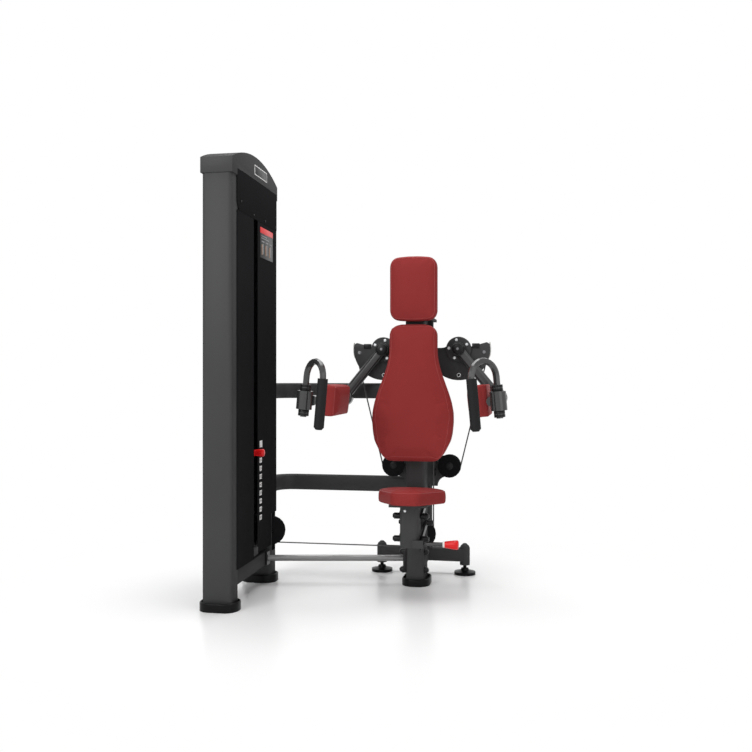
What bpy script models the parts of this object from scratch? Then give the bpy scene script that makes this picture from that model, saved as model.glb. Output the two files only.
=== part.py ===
"""Lateral-raise gym machine with a selectorised weight tower. Metres, +Z up, user faces -Y.

The origin is on the floor, under the middle of the main column.
"""
import math

import bmesh
import bpy
from mathutils import Matrix, Vector

# Clearances
GAP = 0.0003
RUN = 0.0006
SLIDE = 0.0012
JOIN = 0.001

# Tower
TOWER_X = -0.684
FRONT_Y = -0.565
REAR_Y = -0.070
UPRIGHT_W = 0.120
UPRIGHT_D = 0.080
TUBE_WALL = 0.003
TUBE_CORNER = 0.014
UPRIGHT_TOP = 1.690
BOOT_FLOOR = 0.012
BOOT_H = 0.045
BOOT_RIM = 0.0175
BOOT_CORNER = 0.050
RAIL_LOW = 0.080
RAIL_TOP = 0.143
RAIL_W = 0.100
TOP_RAIL_DROP = 0.075
TOP_RAIL_H = 0.040
TOP_RAIL_W = 0.060
CAP_WALL = 0.004
CAP_SKIRT = 0.022
CAP_SIDE_RISE = 0.005
CAP_SHOULDER = 0.038
CAP_ARCH = 0.062
CAP_SKIRT_LEN = 0.088
CAP_SLANT = 0.020
PANEL_T = 0.003
PANEL_INSET = 0.015
HEADER_H = 0.155
HEADER_CORNER = 0.035
SLOT_W = 0.052
SLOT_FOOT = 0.205

# Weight stack
STACK_W = 0.078
STACK_L = 0.310
PLATE_PITCH = 0.034
PLATES = 11
PLATE_GROOVE = 0.002
BUFFER_H = 0.040
BUFFER_W = 0.060
HEAD_H = 0.045
ROD_R = 0.010
ROD_SPREAD = 0.115
STEM_R = 0.012
PIN_R = 0.005
PIN_KNOB_R = 0.016
PIN_KNOB_L = 0.040
PIN_KNOB_X = -0.606

# Cables and pulleys
CABLE_R = 0.003
PULLEY_T = 0.022
AXLE_R = 0.008
TOP_PULLEY_R = 0.052
TOP_GROOVE = 0.042
TOP_PULLEY_RISE = 0.075
FOOT_PULLEY_R = 0.062
FOOT_GROOVE = 0.048
FOOT_PULLEY_Z = 0.220
AXLE_PROUD = 0.014
MOUTH_IN = 0.020
MOUTH_FRONT = 0.024
MOUTH_REAR = 0.030
MOUTH_ROOM = 0.023
BASE_PULLEY_R = 0.068
BASE_GROOVE = 0.055
BASE_PULLEY_Z = 0.197
LOWER_PULLEY_R = 0.052
LOWER_GROOVE = 0.045
LOWER_PULLEY_X = 0.126
LOWER_PULLEY_Z = 0.493
FLOAT_Z = 0.850
FLOAT_PULLEY_R = 0.055
FLOAT_GROOVE = 0.0475
COLUMN_PULLEY_DROP = 0.062
COLUMN_PULLEY_R = 0.042
RISE_X = 0.060
RISE_Y = 0.105
CABLE_Y = 0.150

# Station frame
COLUMN_W = 0.080
COLUMN_D = 0.120
COLUMN_TOP = 1.140
BEAM_H = 0.070
BEAM_D = 0.046
UPPER_BEAM_Z = 0.827
LOWER_BEAM_Z = 0.401
BEND_R = 0.084
FLANGE_T = 0.008
FLANGE_H = 0.100
LINK_R = 0.0135
LINK_Z = 0.112
LINK_START_Y = -0.135
LINK_END_Y = -0.030
LINK_PLATE_T = 0.012
LINK_PLATE_LOW = 0.060
LINK_PLATE_HIGH = 0.044
BASE_Y = 0.210
BASE_LOW = 0.060
BASE_TOP = 0.115
BASE_D = 0.050
SPINE_W = 0.060
FOOT_X = 0.190
FOOT_POST_R = 0.0225
FOOT_POST_LOW = 0.042
FOOT_POST_TOP = 0.120
DOME = 0.018
FOOT_DISC_R = 0.048
FOOT_STEM_R = 0.008
MAST_W = 0.080
BRIDGE_T = 0.012
PLATE_T = 0.008
PLATE_LOBE_R = 0.050
PLATE_SWEEP = 0.044
PLATE_NECK = 0.012
PLATE_WAIST = 0.055
PLATE_CROWN = 0.037
HEAD_EDGE = 0.043
HEAD_DROP = 0.042
HEAD_RISE = 0.030
HEAD_KNEE = 0.036
HEAD_SADDLE = 0.068
HEAD_SADDLE_RISE = 0.008
BEARING_R = 0.035
BEARING_L = 0.080
SHAFT_PROUD = 0.003
BRACKET = 0.020
BRACKET_T = 0.008
BRACKET_PAST = 0.023
BRACKET_SINK = 0.005
BASE_BRACKET_W = 0.036
HANG_BRACKET_W = 0.030
BRIDGE_HALF = 0.060
PAD_FRAME_W = 0.078

# Arms
PIVOT_X = 0.169
PIVOT_Z = 1.014
SHAFT_R = 0.015
HUB_R = 0.029
HUB_FRONT = 0.078
CAM_R = 0.138
CAM_GROOVE = 0.1265
CAM_LOBE = 0.0555
CAM_TIP = 166
CAM_NOSE = 0.010
CAM_RING_R = 0.006
CAM_RING_DROP = 0.1145
CAM_PLATE = 0.006
CAM_CORE = 0.016
ARM_X = 0.371
ARM_Z = 0.800
ARM_Y = 0.105
ARM_WIDE = 0.046
ARM_THICK = 0.030
BAR_R = 0.020
BAR_X = 0.345
SLEEVE_Y = -0.4875
SLEEVE_R = 0.0305
SLEEVE_H = 0.071
SLEEVE_LEAN = math.radians(5)
HANDLE_R = 0.0125
HANDLE_TURN = math.radians(45)
HANDLE_SPAN = 0.122
HANDLE_RISE = 0.0915
COLLAR_R = 0.0205
COLLAR_H = 0.025
GRIP_R = 0.0195
GRIP_TOP = 0.0905
GRIP_LOW = -0.094
GRIP_DOME = 0.008

# Cushions
PAD_FRONT = -0.460
PAD_BACK = -0.190
PAD_T = 0.060
PAD_H = 0.122
PAD_RISE = 0.004
BACK_TOP = 1.110
BACK_LOW = 0.537
BACK_T = 0.062
BACK_NECK = 0.101
BACK_BELLY = 0.172
BACK_BELLY_Z = 0.719
BACK_NECK_Z = 1.000
BACK_LEAN = math.radians(4)
HEAD_W = 0.200
HEAD_LOW = 1.124
HEAD_TOP = 1.400
HEAD_T = 0.062
HEAD_CORNER = 0.034
HEAD_ARCH = 0.009
SEAT_FRONT = -0.354
SEAT_REAR = -0.090
SEAT_NOSE = 0.052
SEAT_WIDE = 0.148
SEAT_WIDE_Y = -0.155
SEAT_CORNER = 0.034
SEAT_BACK_W = 0.118
SEAT_T = 0.056
SEAT_TOP = 0.438
SEAT_TILT = math.radians(4)
BOARD_T = 0.010
BOARD_W = 0.150
BOARD_BITE = 0.0015

# Seat linkage
CARRIER_W = 0.078
CARRIER_FRONT = -0.241
CARRIER_D = 0.080
CARRIER_LOW = 0.195
CARRIER_WALL = 0.004
LINK_LEN = 0.165
LINK_DROP = math.radians(15)
LINK_PIVOT_Y = -0.185
UPPER_PIVOT_Z = 0.318
LOWER_PIVOT_Z = 0.224
LINK_BAR_T = 0.008
LINK_BAR_W = 0.026
PIVOT_R = 0.008
PIVOT_CAP_R = 0.013
PIVOT_CAP_L = 0.026
LOCK_R = 0.0045
LOCK_Y = -0.228
LOCK_Z = 0.213
LOCK_TRAVEL = 0.008
LOCK_STEP = math.radians(14)
LOCK_STOPS = 3
LEVER_END = 0.144
LEVER_R = 0.009
LEVER_GRIP_L = 0.057
LEVER_GRIP_SMALL = 0.0135
LEVER_GRIP_BIG = 0.0195

for old in list(bpy.data.objects):
    bpy.data.objects.remove(old)

PARTS = bpy.data.collections.new("lateral_raise_machine")
CUTTERS = bpy.data.collections.new("cutters")
for collection in (PARTS, CUTTERS):
    bpy.context.scene.collection.children.link(collection)


# Materials

def finish(name, colour, roughness, metallic):
    """A plain Principled material."""
    material = bpy.data.materials.new(name)
    material.use_nodes = True
    shader = material.node_tree.nodes["Principled BSDF"]
    shader.inputs["Base Color"].default_value = (*colour, 1)
    shader.inputs["Roughness"].default_value = roughness
    shader.inputs["Metallic"].default_value = metallic
    return material


FRAME_GREY = finish("frame_grey", (0.075, 0.077, 0.080), 0.42, 0.35)
GLOSS_BLACK = finish("gloss_black", (0.012, 0.012, 0.013), 0.12, 0.0)
RUBBER = finish("rubber", (0.014, 0.014, 0.015), 0.65, 0.0)
PULLEY_BLACK = finish("pulley_black", (0.020, 0.020, 0.022), 0.35, 0.0)
CHROME = finish("chrome", (0.70, 0.71, 0.72), 0.12, 1.0)
CAST = finish("stack_black", (0.022, 0.022, 0.024), 0.55, 0.2)
VINYL = finish("red_vinyl", (0.290, 0.032, 0.034), 0.45, 0.0)
RED = finish("red_plastic", (0.72, 0.045, 0.040), 0.35, 0.0)
STEEL_GREY = finish("steel_grey", (0.21, 0.215, 0.22), 0.35, 0.6)
WIRE = finish("coated_wire", (0.050, 0.050, 0.052), 0.40, 0.2)


# Shape helpers: each returns a closed mesh in world coordinates

def closed(bm):
    """Turn a bmesh into a mesh with welded seams and faces looking out."""
    bmesh.ops.remove_doubles(bm, verts=bm.verts, dist=0.000002)
    bmesh.ops.recalc_face_normals(bm, faces=bm.faces)
    mesh = bpy.data.meshes.new("shape")
    bm.to_mesh(mesh)
    bm.free()
    return mesh


def box(x0, x1, y0, y1, z0, z1):
    """A plain block between two corners."""
    bm = bmesh.new()
    bmesh.ops.create_cube(bm, size=1)
    bmesh.ops.scale(bm, vec=(x1 - x0, y1 - y0, z1 - z0), verts=bm.verts)
    bmesh.ops.translate(bm, vec=((x0 + x1) / 2, (y0 + y1) / 2, (z0 + z1) / 2), verts=bm.verts)
    return closed(bm)


def turned_box(centre, along, size):
    """A block whose first side runs along a level direction."""
    u = Vector(along).normalized()
    turn = Matrix((u, Vector((-u.y, u.x, 0)), Vector((0, 0, 1)))).transposed().to_4x4()
    bm = bmesh.new()
    bmesh.ops.create_cube(bm, size=1)
    bmesh.ops.scale(bm, vec=size, verts=bm.verts)
    bmesh.ops.transform(bm, matrix=Matrix.Translation(centre) @ turn, verts=bm.verts)
    return closed(bm)


def cylinder(start, end, radius, sides=16, end_radius=None):
    """A round bar or a cone between two points."""
    start = Vector(start)
    end = Vector(end)
    run = end - start
    place = Matrix.Translation((start + end) / 2) @ run.to_track_quat("Z", "Y").to_matrix().to_4x4()
    bm = bmesh.new()
    bmesh.ops.create_cone(
        bm, cap_ends=True, segments=sides, radius1=radius,
        radius2=radius if end_radius is None else end_radius, depth=run.length, matrix=place)
    return closed(bm)


def prism(loops, axis, low, high):
    """Flat outlines pushed along X, Y or Z. Outlines are (y, z), (x, z) or (x, y) points."""
    place = {
        "X": Matrix(((0, 0, 1, 0), (1, 0, 0, 0), (0, 1, 0, 0), (0, 0, 0, 1))),
        "Y": Matrix(((1, 0, 0, 0), (0, 0, 1, 0), (0, 1, 0, 0), (0, 0, 0, 1))),
        "Z": Matrix.Identity(4),
    }[axis]
    bm = bmesh.new()
    if len(loops) == 1:
        rows = [[bm.verts.new(place @ Vector((u, v, w))) for u, v in loops[0]] for w in (low, high)]
        for row in rows:
            bm.faces.new(row)
        for k in range(len(rows[0])):
            bm.faces.new((rows[0][k - 1], rows[0][k], rows[1][k], rows[1][k - 1]))
        return closed(bm)
    curve = bpy.data.curves.new("outline", "CURVE")
    curve.dimensions = "2D"
    curve.fill_mode = "BOTH"
    curve.extrude = (high - low) / 2
    for loop in loops:
        spline = curve.splines.new("POLY")
        spline.points.add(len(loop) - 1)
        spline.use_cyclic_u = True
        for point, (u, v) in zip(spline.points, loop):
            point.co = (u, v, 0, 1)
    holder = bpy.data.objects.new("outline", curve)
    mesh = bpy.data.meshes.new_from_object(holder)
    bpy.data.objects.remove(holder)
    mesh.transform(Matrix.Translation((0, 0, (low + high) / 2)))
    bm.from_mesh(mesh)
    bmesh.ops.transform(bm, matrix=place, verts=bm.verts)
    return closed(bm)


def arc(cx, cy, radius, start, stop, steps):
    """Points on a circle, angles in degrees."""
    angles = [math.radians(start + (stop - start) * k / steps) for k in range(steps + 1)]
    return [(cx + radius * math.cos(a), cy + radius * math.sin(a)) for a in angles]


def rounded(x0, x1, y0, y1, radius, steps=3):
    """A rectangle with round corners."""
    loop = arc(x1 - radius, y1 - radius, radius, 0, 90, steps)
    loop += arc(x0 + radius, y1 - radius, radius, 90, 180, steps)
    loop += arc(x0 + radius, y0 + radius, radius, 180, 270, steps)
    loop += arc(x1 - radius, y0 + radius, radius, 270, 360, steps)
    return loop


def softened(points, radius, steps=4):
    """Round every corner of an outline with a smooth fillet."""
    loop = []
    for k, point in enumerate(points):
        here = Vector(point)
        before = Vector(points[k - 1]) - here
        after = Vector(points[(k + 1) % len(points)]) - here
        reach = min(radius, before.length * 0.45, after.length * 0.45)
        first = here + before.normalized() * reach
        last = here + after.normalized() * reach
        for j in range(steps + 1):
            t = j / steps
            spot = first * (1 - t) ** 2 + here * 2 * t * (1 - t) + last * t * t
            loop.append((spot.x, spot.y))
    return loop


def slab(cx, cy, length_x, length_y, corner, steps=3):
    """A rounded rectangle about a centre."""
    return rounded(cx - length_x / 2, cx + length_x / 2, cy - length_y / 2, cy + length_y / 2, corner, steps)


def tube(cx, cy, width, depth, wall, low, high):
    """An upright rectangular tube, open at both ends."""
    outer = slab(cx, cy, width, depth, TUBE_CORNER)
    inner = slab(cx, cy, width - 2 * wall, depth - 2 * wall, TUBE_CORNER - wall)
    return prism([outer, inner], "Z", low, high)


def pipe(points, radius, resolution=1):
    """A round wire or tube along points, with closed ends."""
    curve = bpy.data.curves.new("run", "CURVE")
    curve.dimensions = "3D"
    curve.bevel_depth = radius
    curve.bevel_resolution = resolution
    curve.use_fill_caps = True
    spline = curve.splines.new("POLY")
    spline.points.add(len(points) - 1)
    for point, spot in zip(spline.points, points):
        point.co = (*spot, 1)
    holder = bpy.data.objects.new("run", curve)
    mesh = bpy.data.meshes.new_from_object(holder)
    bpy.data.objects.remove(holder)
    bm = bmesh.new()
    bm.from_mesh(mesh)
    return closed(bm)


def skin(rings):
    """Close a stack of equal rings of points into one solid."""
    bm = bmesh.new()
    rows = [[bm.verts.new(spot) for spot in ring] for ring in rings]
    count = len(rows[0])
    for lower, upper in zip(rows, rows[1:]):
        for k in range(count):
            n = (k + 1) % count
            bm.faces.new((lower[k], lower[n], upper[n], upper[k]))
    bm.faces.new(rows[0])
    bm.faces.new(rows[-1])
    return closed(bm)


def swept(path, height, width, corner):
    """A rectangular tube along a level path."""
    rings = []
    for k, spot in enumerate(path):
        here = Vector(spot)
        ahead = Vector(path[min(k + 1, len(path) - 1)]) - Vector(path[max(k - 1, 0)])
        across = Vector((-ahead.y, ahead.x, 0)).normalized()
        loop = slab(0, 0, width, height, corner, 2)
        rings.append([here + across * u + Vector((0, 0, v)) for u, v in loop])
    return skin(rings)


def bar(start, end, loop, side):
    """An outline carried straight from one point to another, its first axis along side."""
    start = Vector(start)
    end = Vector(end)
    run = (end - start).normalized()
    across = (Vector(side) - run * run.dot(Vector(side))).normalized()
    up = run.cross(across)
    return skin([[spot + across * u + up * v for u, v in loop] for spot in (start, end)])


def inset(loop, distance):
    """Move a closed outline inwards."""
    result = []
    for k, point in enumerate(loop):
        here = Vector(point)
        edge = Vector(loop[(k + 1) % len(loop)]) - Vector(loop[k - 1])
        inward = Vector((-edge.y, edge.x)).normalized()
        spot = here + inward * distance
        result.append((spot.x, spot.y))
    return result


def cushion(loop, thickness, crown, draw, place):
    """An upholstered pad: drawn-in sides, round edges and a crowned face."""
    steps = (
        (draw, 0.0), (draw * 0.25, 0.10), (0.0, 0.30), (0.0, 0.60), (draw * 0.3, 0.80),
        (draw * 1.0, 0.92), (draw * 2.2, 1.0))
    rings = []
    for distance, share in steps:
        rings.append([place @ Vector((u, v, thickness * share)) for u, v in inset(loop, distance)])
    rim = inset(loop, draw * 2.2)
    mid_u = sum(u for u, v in rim) / len(rim)
    mid_v = sum(v for u, v in rim) / len(rim)
    for size, share in ((0.84, 0.6), (0.5, 1.0)):
        rings.append([place @ Vector((mid_u + (u - mid_u) * size, mid_v + (v - mid_v) * size,
                                      thickness + crown * share)) for u, v in rim])
    return skin(rings)


def joined(shapes):
    """Several meshes as one, for one Boolean step."""
    bm = bmesh.new()
    for shape in shapes:
        bm.from_mesh(shape)
    return closed(bm)


def mirrored(mesh, side):
    """A left-hand shape, or its mirror for the right-hand side."""
    if side > 0:
        mesh.transform(Matrix.Scale(-1, 4, (1, 0, 0)))
        mesh.flip_normals()
    return mesh


def node(name, mesh, material, origin=(0, 0, 0), add=(), cut=()):
    """One part, with its origin, its finish and its Boolean steps."""
    own = material.copy()
    own.name = name + "_finish"
    mesh.name = name
    mesh.transform(Matrix.Translation(-Vector(origin)))
    mesh.materials.clear()
    mesh.materials.append(own)
    thing = bpy.data.objects.new(name, mesh)
    thing.location = origin
    PARTS.objects.link(thing)
    for operation, shapes in (("UNION", add), ("DIFFERENCE", cut)):
        for count, shape in enumerate(shapes):
            operand = bpy.data.objects.new(name + "_" + operation.lower() + str(count), shape)
            operand.hide_render = True
            operand.display_type = "WIRE"
            CUTTERS.objects.link(operand)
            step = thing.modifiers.new(operand.name, "BOOLEAN")
            step.operation = operation
            step.solver = "EXACT"
            step.object = operand
    return thing


def turned(name, profile, material, origin, axis, steps=24, loop=False):
    """A turned part: profile points (radius, height along the axis) carried round by a Screw."""
    bm = bmesh.new()
    verts = [bm.verts.new((radius, 0, height)) for radius, height in profile]
    for first, second in zip(verts, verts[1:]):
        bm.edges.new((first, second))
    if loop:
        bm.edges.new((verts[-1], verts[0]))
    mesh = bpy.data.meshes.new(name)
    bm.to_mesh(mesh)
    bm.free()
    thing = node(name, mesh, material)
    thing.location = origin
    thing.rotation_euler = Vector(axis).to_track_quat("Z", "Y").to_euler()
    screw = thing.modifiers.new("turn", "SCREW")
    screw.axis = "Z"
    screw.angle = math.tau
    screw.steps = steps
    screw.render_steps = steps
    screw.use_merge_vertices = True
    screw.merge_threshold = 0.00001
    return thing


def pulley(name, radius, groove, origin, axis, bore=AXLE_R + RUN):
    """A grooved wheel with a bore."""
    half = PULLEY_T / 2
    lip = half - 0.002
    floor = CABLE_R * 0.7
    profile = [
        (bore, half), (radius, half), (radius, lip), (groove, floor), (groove, -floor),
        (radius, -lip), (radius, -half), (bore, -half)]
    return turned(name, profile, PULLEY_BLACK, origin, axis, 20, True)


# Tower

LIFT_Y = (FRONT_Y + REAR_Y) / 2
TOP_RAIL_TOP = UPRIGHT_TOP - TOP_RAIL_DROP
TOP_RAIL_LOW = TOP_RAIL_TOP - TOP_RAIL_H
TOP_PULLEY_Z = TOP_RAIL_TOP + TOP_PULLEY_RISE
CAP_SKIRT_LOW = UPRIGHT_TOP - CAP_SKIRT
CAP_SIDE_LOW = UPRIGHT_TOP + CAP_SIDE_RISE
CAP_PEAK = UPRIGHT_TOP + CAP_SHOULDER + CAP_ARCH
HEADER_LOW = CAP_SIDE_LOW - HEADER_H
RIGHT_FACE = TOWER_X + UPRIGHT_W / 2
INNER_FRONT = FRONT_Y + UPRIGHT_D / 2
INNER_REAR = REAR_Y - UPRIGHT_D / 2
DOWN_RUN = Vector((TOWER_X, REAR_Y - 0.012, 0))
RISE = Vector((RISE_X, RISE_Y, 0))
DROP = Vector((0, CABLE_Y, 0))
FLOOR_DIR = (RISE - DOWN_RUN).normalized()
FLOOR_NORMAL = Vector((-FLOOR_DIR.y, FLOOR_DIR.x, 0))
SIT = CABLE_R + RUN
FOOT_PULLEY = DOWN_RUN + FLOOR_DIR * (FOOT_GROOVE + SIT) + Vector((0, 0, FOOT_PULLEY_Z))
BASE_PULLEY = RISE - FLOOR_DIR * (BASE_GROOVE + SIT) + Vector((0, 0, BASE_PULLEY_Z))
TOP_FRONT = Vector((TOWER_X, LIFT_Y + TOP_GROOVE + SIT, TOP_PULLEY_Z))
TOP_REAR = Vector((TOWER_X, DOWN_RUN.y - TOP_GROOVE - SIT, TOP_PULLEY_Z))
foot_wall = REAR_Y + UPRIGHT_D / 2 - AXLE_R * abs(FLOOR_DIR.y) - GAP
foot_reach = (foot_wall - FOOT_PULLEY.y) / FLOOR_NORMAL.y

node("tower_front_upright",
     tube(TOWER_X, FRONT_Y, UPRIGHT_W, UPRIGHT_D, TUBE_WALL, BOOT_FLOOR + GAP, UPRIGHT_TOP), FRAME_GREY)
node("tower_rear_upright",
     tube(TOWER_X, REAR_Y, UPRIGHT_W, UPRIGHT_D, TUBE_WALL, BOOT_FLOOR + GAP, UPRIGHT_TOP), FRAME_GREY,
     add=[cylinder(FOOT_PULLEY - FLOOR_NORMAL * AXLE_PROUD, FOOT_PULLEY + FLOOR_NORMAL * foot_reach, AXLE_R, 16)],
     cut=[box(RIGHT_FACE - MOUTH_IN, RIGHT_FACE + MOUTH_IN, REAR_Y - MOUTH_FRONT, REAR_Y + MOUTH_REAR,
              FOOT_PULLEY_Z - FOOT_PULLEY_R - MOUTH_ROOM, FOOT_PULLEY_Z + FOOT_PULLEY_R + MOUTH_ROOM),
          box(TOWER_X - 0.020, TOWER_X + 0.020, INNER_REAR - 0.010, INNER_REAR + 0.010,
              TOP_RAIL_TOP + 0.005, UPRIGHT_TOP + 0.030)])
for name, y in (("tower_front_boot", FRONT_Y), ("tower_rear_boot", REAR_Y)):
    shell = prism([slab(TOWER_X, y, UPRIGHT_W + 2 * BOOT_RIM, UPRIGHT_D + 2 * BOOT_RIM, BOOT_CORNER, 5)],
                  "Z", 0, BOOT_H)
    pocket = prism([slab(TOWER_X, y, UPRIGHT_W + 2 * GAP, UPRIGHT_D + 2 * GAP, TUBE_CORNER + GAP)],
                   "Z", BOOT_FLOOR, BOOT_H + 0.01)
    node(name, shell, RUBBER, cut=[pocket])

node("tower_base_rail",
     prism([rounded(TOWER_X - RAIL_W / 2, TOWER_X + RAIL_W / 2, RAIL_LOW, RAIL_TOP, 0.008),
            rounded(TOWER_X - RAIL_W / 2 + TUBE_WALL, TOWER_X + RAIL_W / 2 - TUBE_WALL,
                    RAIL_LOW + TUBE_WALL, RAIL_TOP - TUBE_WALL, 0.005)],
           "Y", INNER_FRONT + GAP, INNER_REAR - GAP), FRAME_GREY)
EAR = PULLEY_T / 2 + 0.003
EAR_T = 0.005
ear_loop = rounded(TOP_FRONT.y - 0.020, TOP_REAR.y + 0.014, TOP_RAIL_TOP - 0.005, TOP_PULLEY_Z + 0.018, 0.012)
node("tower_top_rail",
     box(TOWER_X - TOP_RAIL_W / 2, TOWER_X + TOP_RAIL_W / 2, INNER_FRONT + GAP, INNER_REAR - GAP,
         TOP_RAIL_LOW, TOP_RAIL_TOP), FRAME_GREY,
     add=[prism([ear_loop], "X", TOWER_X - EAR - EAR_T, TOWER_X - EAR),
          prism([ear_loop], "X", TOWER_X + EAR, TOWER_X + EAR + EAR_T),
          joined([cylinder(spot - Vector((EAR + 0.001, 0, 0)), spot + Vector((EAR + 0.001, 0, 0)), AXLE_R, 16)
                  for spot in (TOP_FRONT, TOP_REAR)])],
     cut=[cylinder((TOWER_X, LIFT_Y, TOP_RAIL_LOW - 0.01), (TOWER_X, LIFT_Y, TOP_RAIL_TOP + 0.01),
                   CABLE_R + SLIDE, 12)])


def cap_outline(wall, low, side_low):
    """The arched cap seen from the side, drawn in by a wall thickness."""
    y0 = FRONT_Y - UPRIGHT_D / 2 - GAP - CAP_WALL + wall
    y1 = REAR_Y + UPRIGHT_D / 2 + GAP + CAP_WALL - wall
    half = (y1 - y0) / 2
    rise = CAP_ARCH
    radius = (half * half + rise * rise) / (2 * rise)
    middle = (y0 + y1) / 2
    spread = math.degrees(math.asin(half / radius))
    loop = arc(middle, CAP_PEAK - wall - radius, radius, 90 - spread, 90 + spread, 16)
    loop += [(y0, low), (y0 + CAP_SKIRT_LEN, low), (y0 + CAP_SKIRT_LEN + CAP_SLANT, side_low)]
    loop += [(y1 - CAP_SKIRT_LEN - CAP_SLANT, side_low), (y1 - CAP_SKIRT_LEN, low), (y1, low)]
    return loop


CAP_HALF = UPRIGHT_W / 2 + GAP + CAP_WALL
node("tower_cap",
     prism([cap_outline(0, CAP_SKIRT_LOW, CAP_SIDE_LOW)], "X", TOWER_X - CAP_HALF, TOWER_X + CAP_HALF), FRAME_GREY,
     cut=[prism([cap_outline(CAP_WALL, CAP_SKIRT_LOW - 0.02, CAP_SKIRT_LOW - 0.02)], "X",
                TOWER_X - CAP_HALF + CAP_WALL, TOWER_X + CAP_HALF - CAP_WALL)])

PANEL_OUT = RIGHT_FACE - PANEL_INSET
PANEL_LOW = RAIL_TOP + GAP
PANEL_HIGH = UPRIGHT_TOP - 0.002
SLOT_FRONT = LIFT_Y - SLOT_W / 2
SLOT_REAR = LIFT_Y + SLOT_W / 2
node("header_panel",
     prism([softened([(INNER_FRONT + GAP, CAP_SIDE_LOW - GAP), (INNER_FRONT + GAP, HEADER_LOW),
                      (INNER_REAR - GAP, HEADER_LOW), (INNER_REAR - GAP, CAP_SIDE_LOW - GAP)],
                     HEADER_CORNER, 4)], "X", PANEL_OUT + GAP, PANEL_OUT + GAP + PANEL_T), GLOSS_BLACK)
node("shroud_front",
     prism([[(INNER_FRONT + GAP, PANEL_LOW), (LIFT_Y - GAP, PANEL_LOW), (LIFT_Y - GAP, SLOT_FOOT)]
            + arc(LIFT_Y - GAP, SLOT_FOOT + SLOT_W / 2, SLOT_W / 2, 270, 180, 5)[1:]
            + [(SLOT_FRONT - GAP, PANEL_HIGH), (INNER_FRONT + GAP, PANEL_HIGH)]],
           "X", PANEL_OUT - PANEL_T, PANEL_OUT), GLOSS_BLACK)
node("shroud_rear",
     prism([[(INNER_REAR - GAP, PANEL_LOW), (INNER_REAR - GAP, PANEL_HIGH), (SLOT_REAR + GAP, PANEL_HIGH)]
            + arc(LIFT_Y + GAP, SLOT_FOOT + SLOT_W / 2, SLOT_W / 2, 0, -90, 5)
            + [(LIFT_Y + GAP, PANEL_LOW)]],
           "X", PANEL_OUT - PANEL_T, PANEL_OUT), GLOSS_BLACK)
LEFT_PANEL = TOWER_X - UPRIGHT_W / 2 + PANEL_INSET
node("shroud_left", box(LEFT_PANEL, LEFT_PANEL + PANEL_T, INNER_FRONT + GAP, INNER_REAR - GAP,
                        PANEL_LOW, PANEL_HIGH), GLOSS_BLACK)

# Weight stack

STACK_LOW = RAIL_TOP + GAP + BUFFER_H + GAP
STACK_TOP = STACK_LOW + PLATES * PLATE_PITCH
HEAD_LOW_Z = STACK_TOP + GAP
HEAD_TOP_Z = HEAD_LOW_Z + HEAD_H
PIN_Z = HEAD_LOW_Z + HEAD_H / 2
ROD_YS = (LIFT_Y - ROD_SPREAD, LIFT_Y + ROD_SPREAD)
for name, y in zip(("guide_rod_front", "guide_rod_rear"), ROD_YS):
    node(name, cylinder((TOWER_X, y, RAIL_TOP + GAP), (TOWER_X, y, TOP_RAIL_LOW - GAP), ROD_R, 16), CHROME)


def rod_holes(low, high):
    """Running holes for both guide rods."""
    return joined([cylinder((TOWER_X, y, low), (TOWER_X, y, high), ROD_R + SLIDE, 16) for y in ROD_YS])


node("stack_buffer",
     prism([slab(TOWER_X, LIFT_Y, BUFFER_W, STACK_L - 0.02, 0.010)], "Z", RAIL_TOP + GAP,
           RAIL_TOP + GAP + BUFFER_H), RUBBER,
     cut=[rod_holes(RAIL_TOP - 0.01, STACK_LOW + 0.01)])
edge = []
for k in range(PLATES):
    low = STACK_LOW + k * PLATE_PITCH
    edge.append((STACK_W / 2, low + (PLATE_GROOVE if k else 0)))
    edge.append((STACK_W / 2, low + PLATE_PITCH))
    if k < PLATES - 1:
        edge.append((STACK_W / 2 - PLATE_GROOVE, low + PLATE_PITCH))
        edge.append((STACK_W / 2 - PLATE_GROOVE, low + PLATE_PITCH + PLATE_GROOVE))
outline = [(TOWER_X + x, z) for x, z in edge] + [(TOWER_X - x, z) for x, z in reversed(edge)]
pin_holes = joined([
    cylinder((TOWER_X + 0.020, LIFT_Y, STACK_LOW + (k + 0.5) * PLATE_PITCH),
             (TOWER_X + 0.060, LIFT_Y, STACK_LOW + (k + 0.5) * PLATE_PITCH), PIN_R + SLIDE, 6)
    for k in range(PLATES)])
node("weight_stack", prism([outline], "Y", LIFT_Y - STACK_L / 2, LIFT_Y + STACK_L / 2), CAST,
     cut=[rod_holes(STACK_LOW - 0.01, STACK_TOP + 0.01),
          cylinder((TOWER_X, LIFT_Y, STACK_LOW - 0.01), (TOWER_X, LIFT_Y, STACK_TOP + 0.01), STEM_R + SLIDE, 16),
          pin_holes])
EYE_TOP = HEAD_TOP_Z + 0.030
node("carriage",
     prism([slab(TOWER_X, LIFT_Y, STACK_W, STACK_L, 0.006, 2)], "Z", HEAD_LOW_Z, HEAD_TOP_Z), CAST,
     add=[cylinder((TOWER_X, LIFT_Y, STACK_LOW + 0.012), (TOWER_X, LIFT_Y, HEAD_LOW_Z + 0.010), STEM_R, 16),
          cylinder((TOWER_X, LIFT_Y, HEAD_TOP_Z - 0.010), (TOWER_X, LIFT_Y, EYE_TOP), STEM_R, 16)],
     cut=[rod_holes(HEAD_LOW_Z - 0.01, HEAD_TOP_Z + 0.01),
          cylinder((TOWER_X - 0.012, LIFT_Y, PIN_Z), (TOWER_X + 0.060, LIFT_Y, PIN_Z), PIN_R + RUN, 12)])
KNOB_LOW = PIN_KNOB_X - PIN_KNOB_L / 2 - TOWER_X
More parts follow.
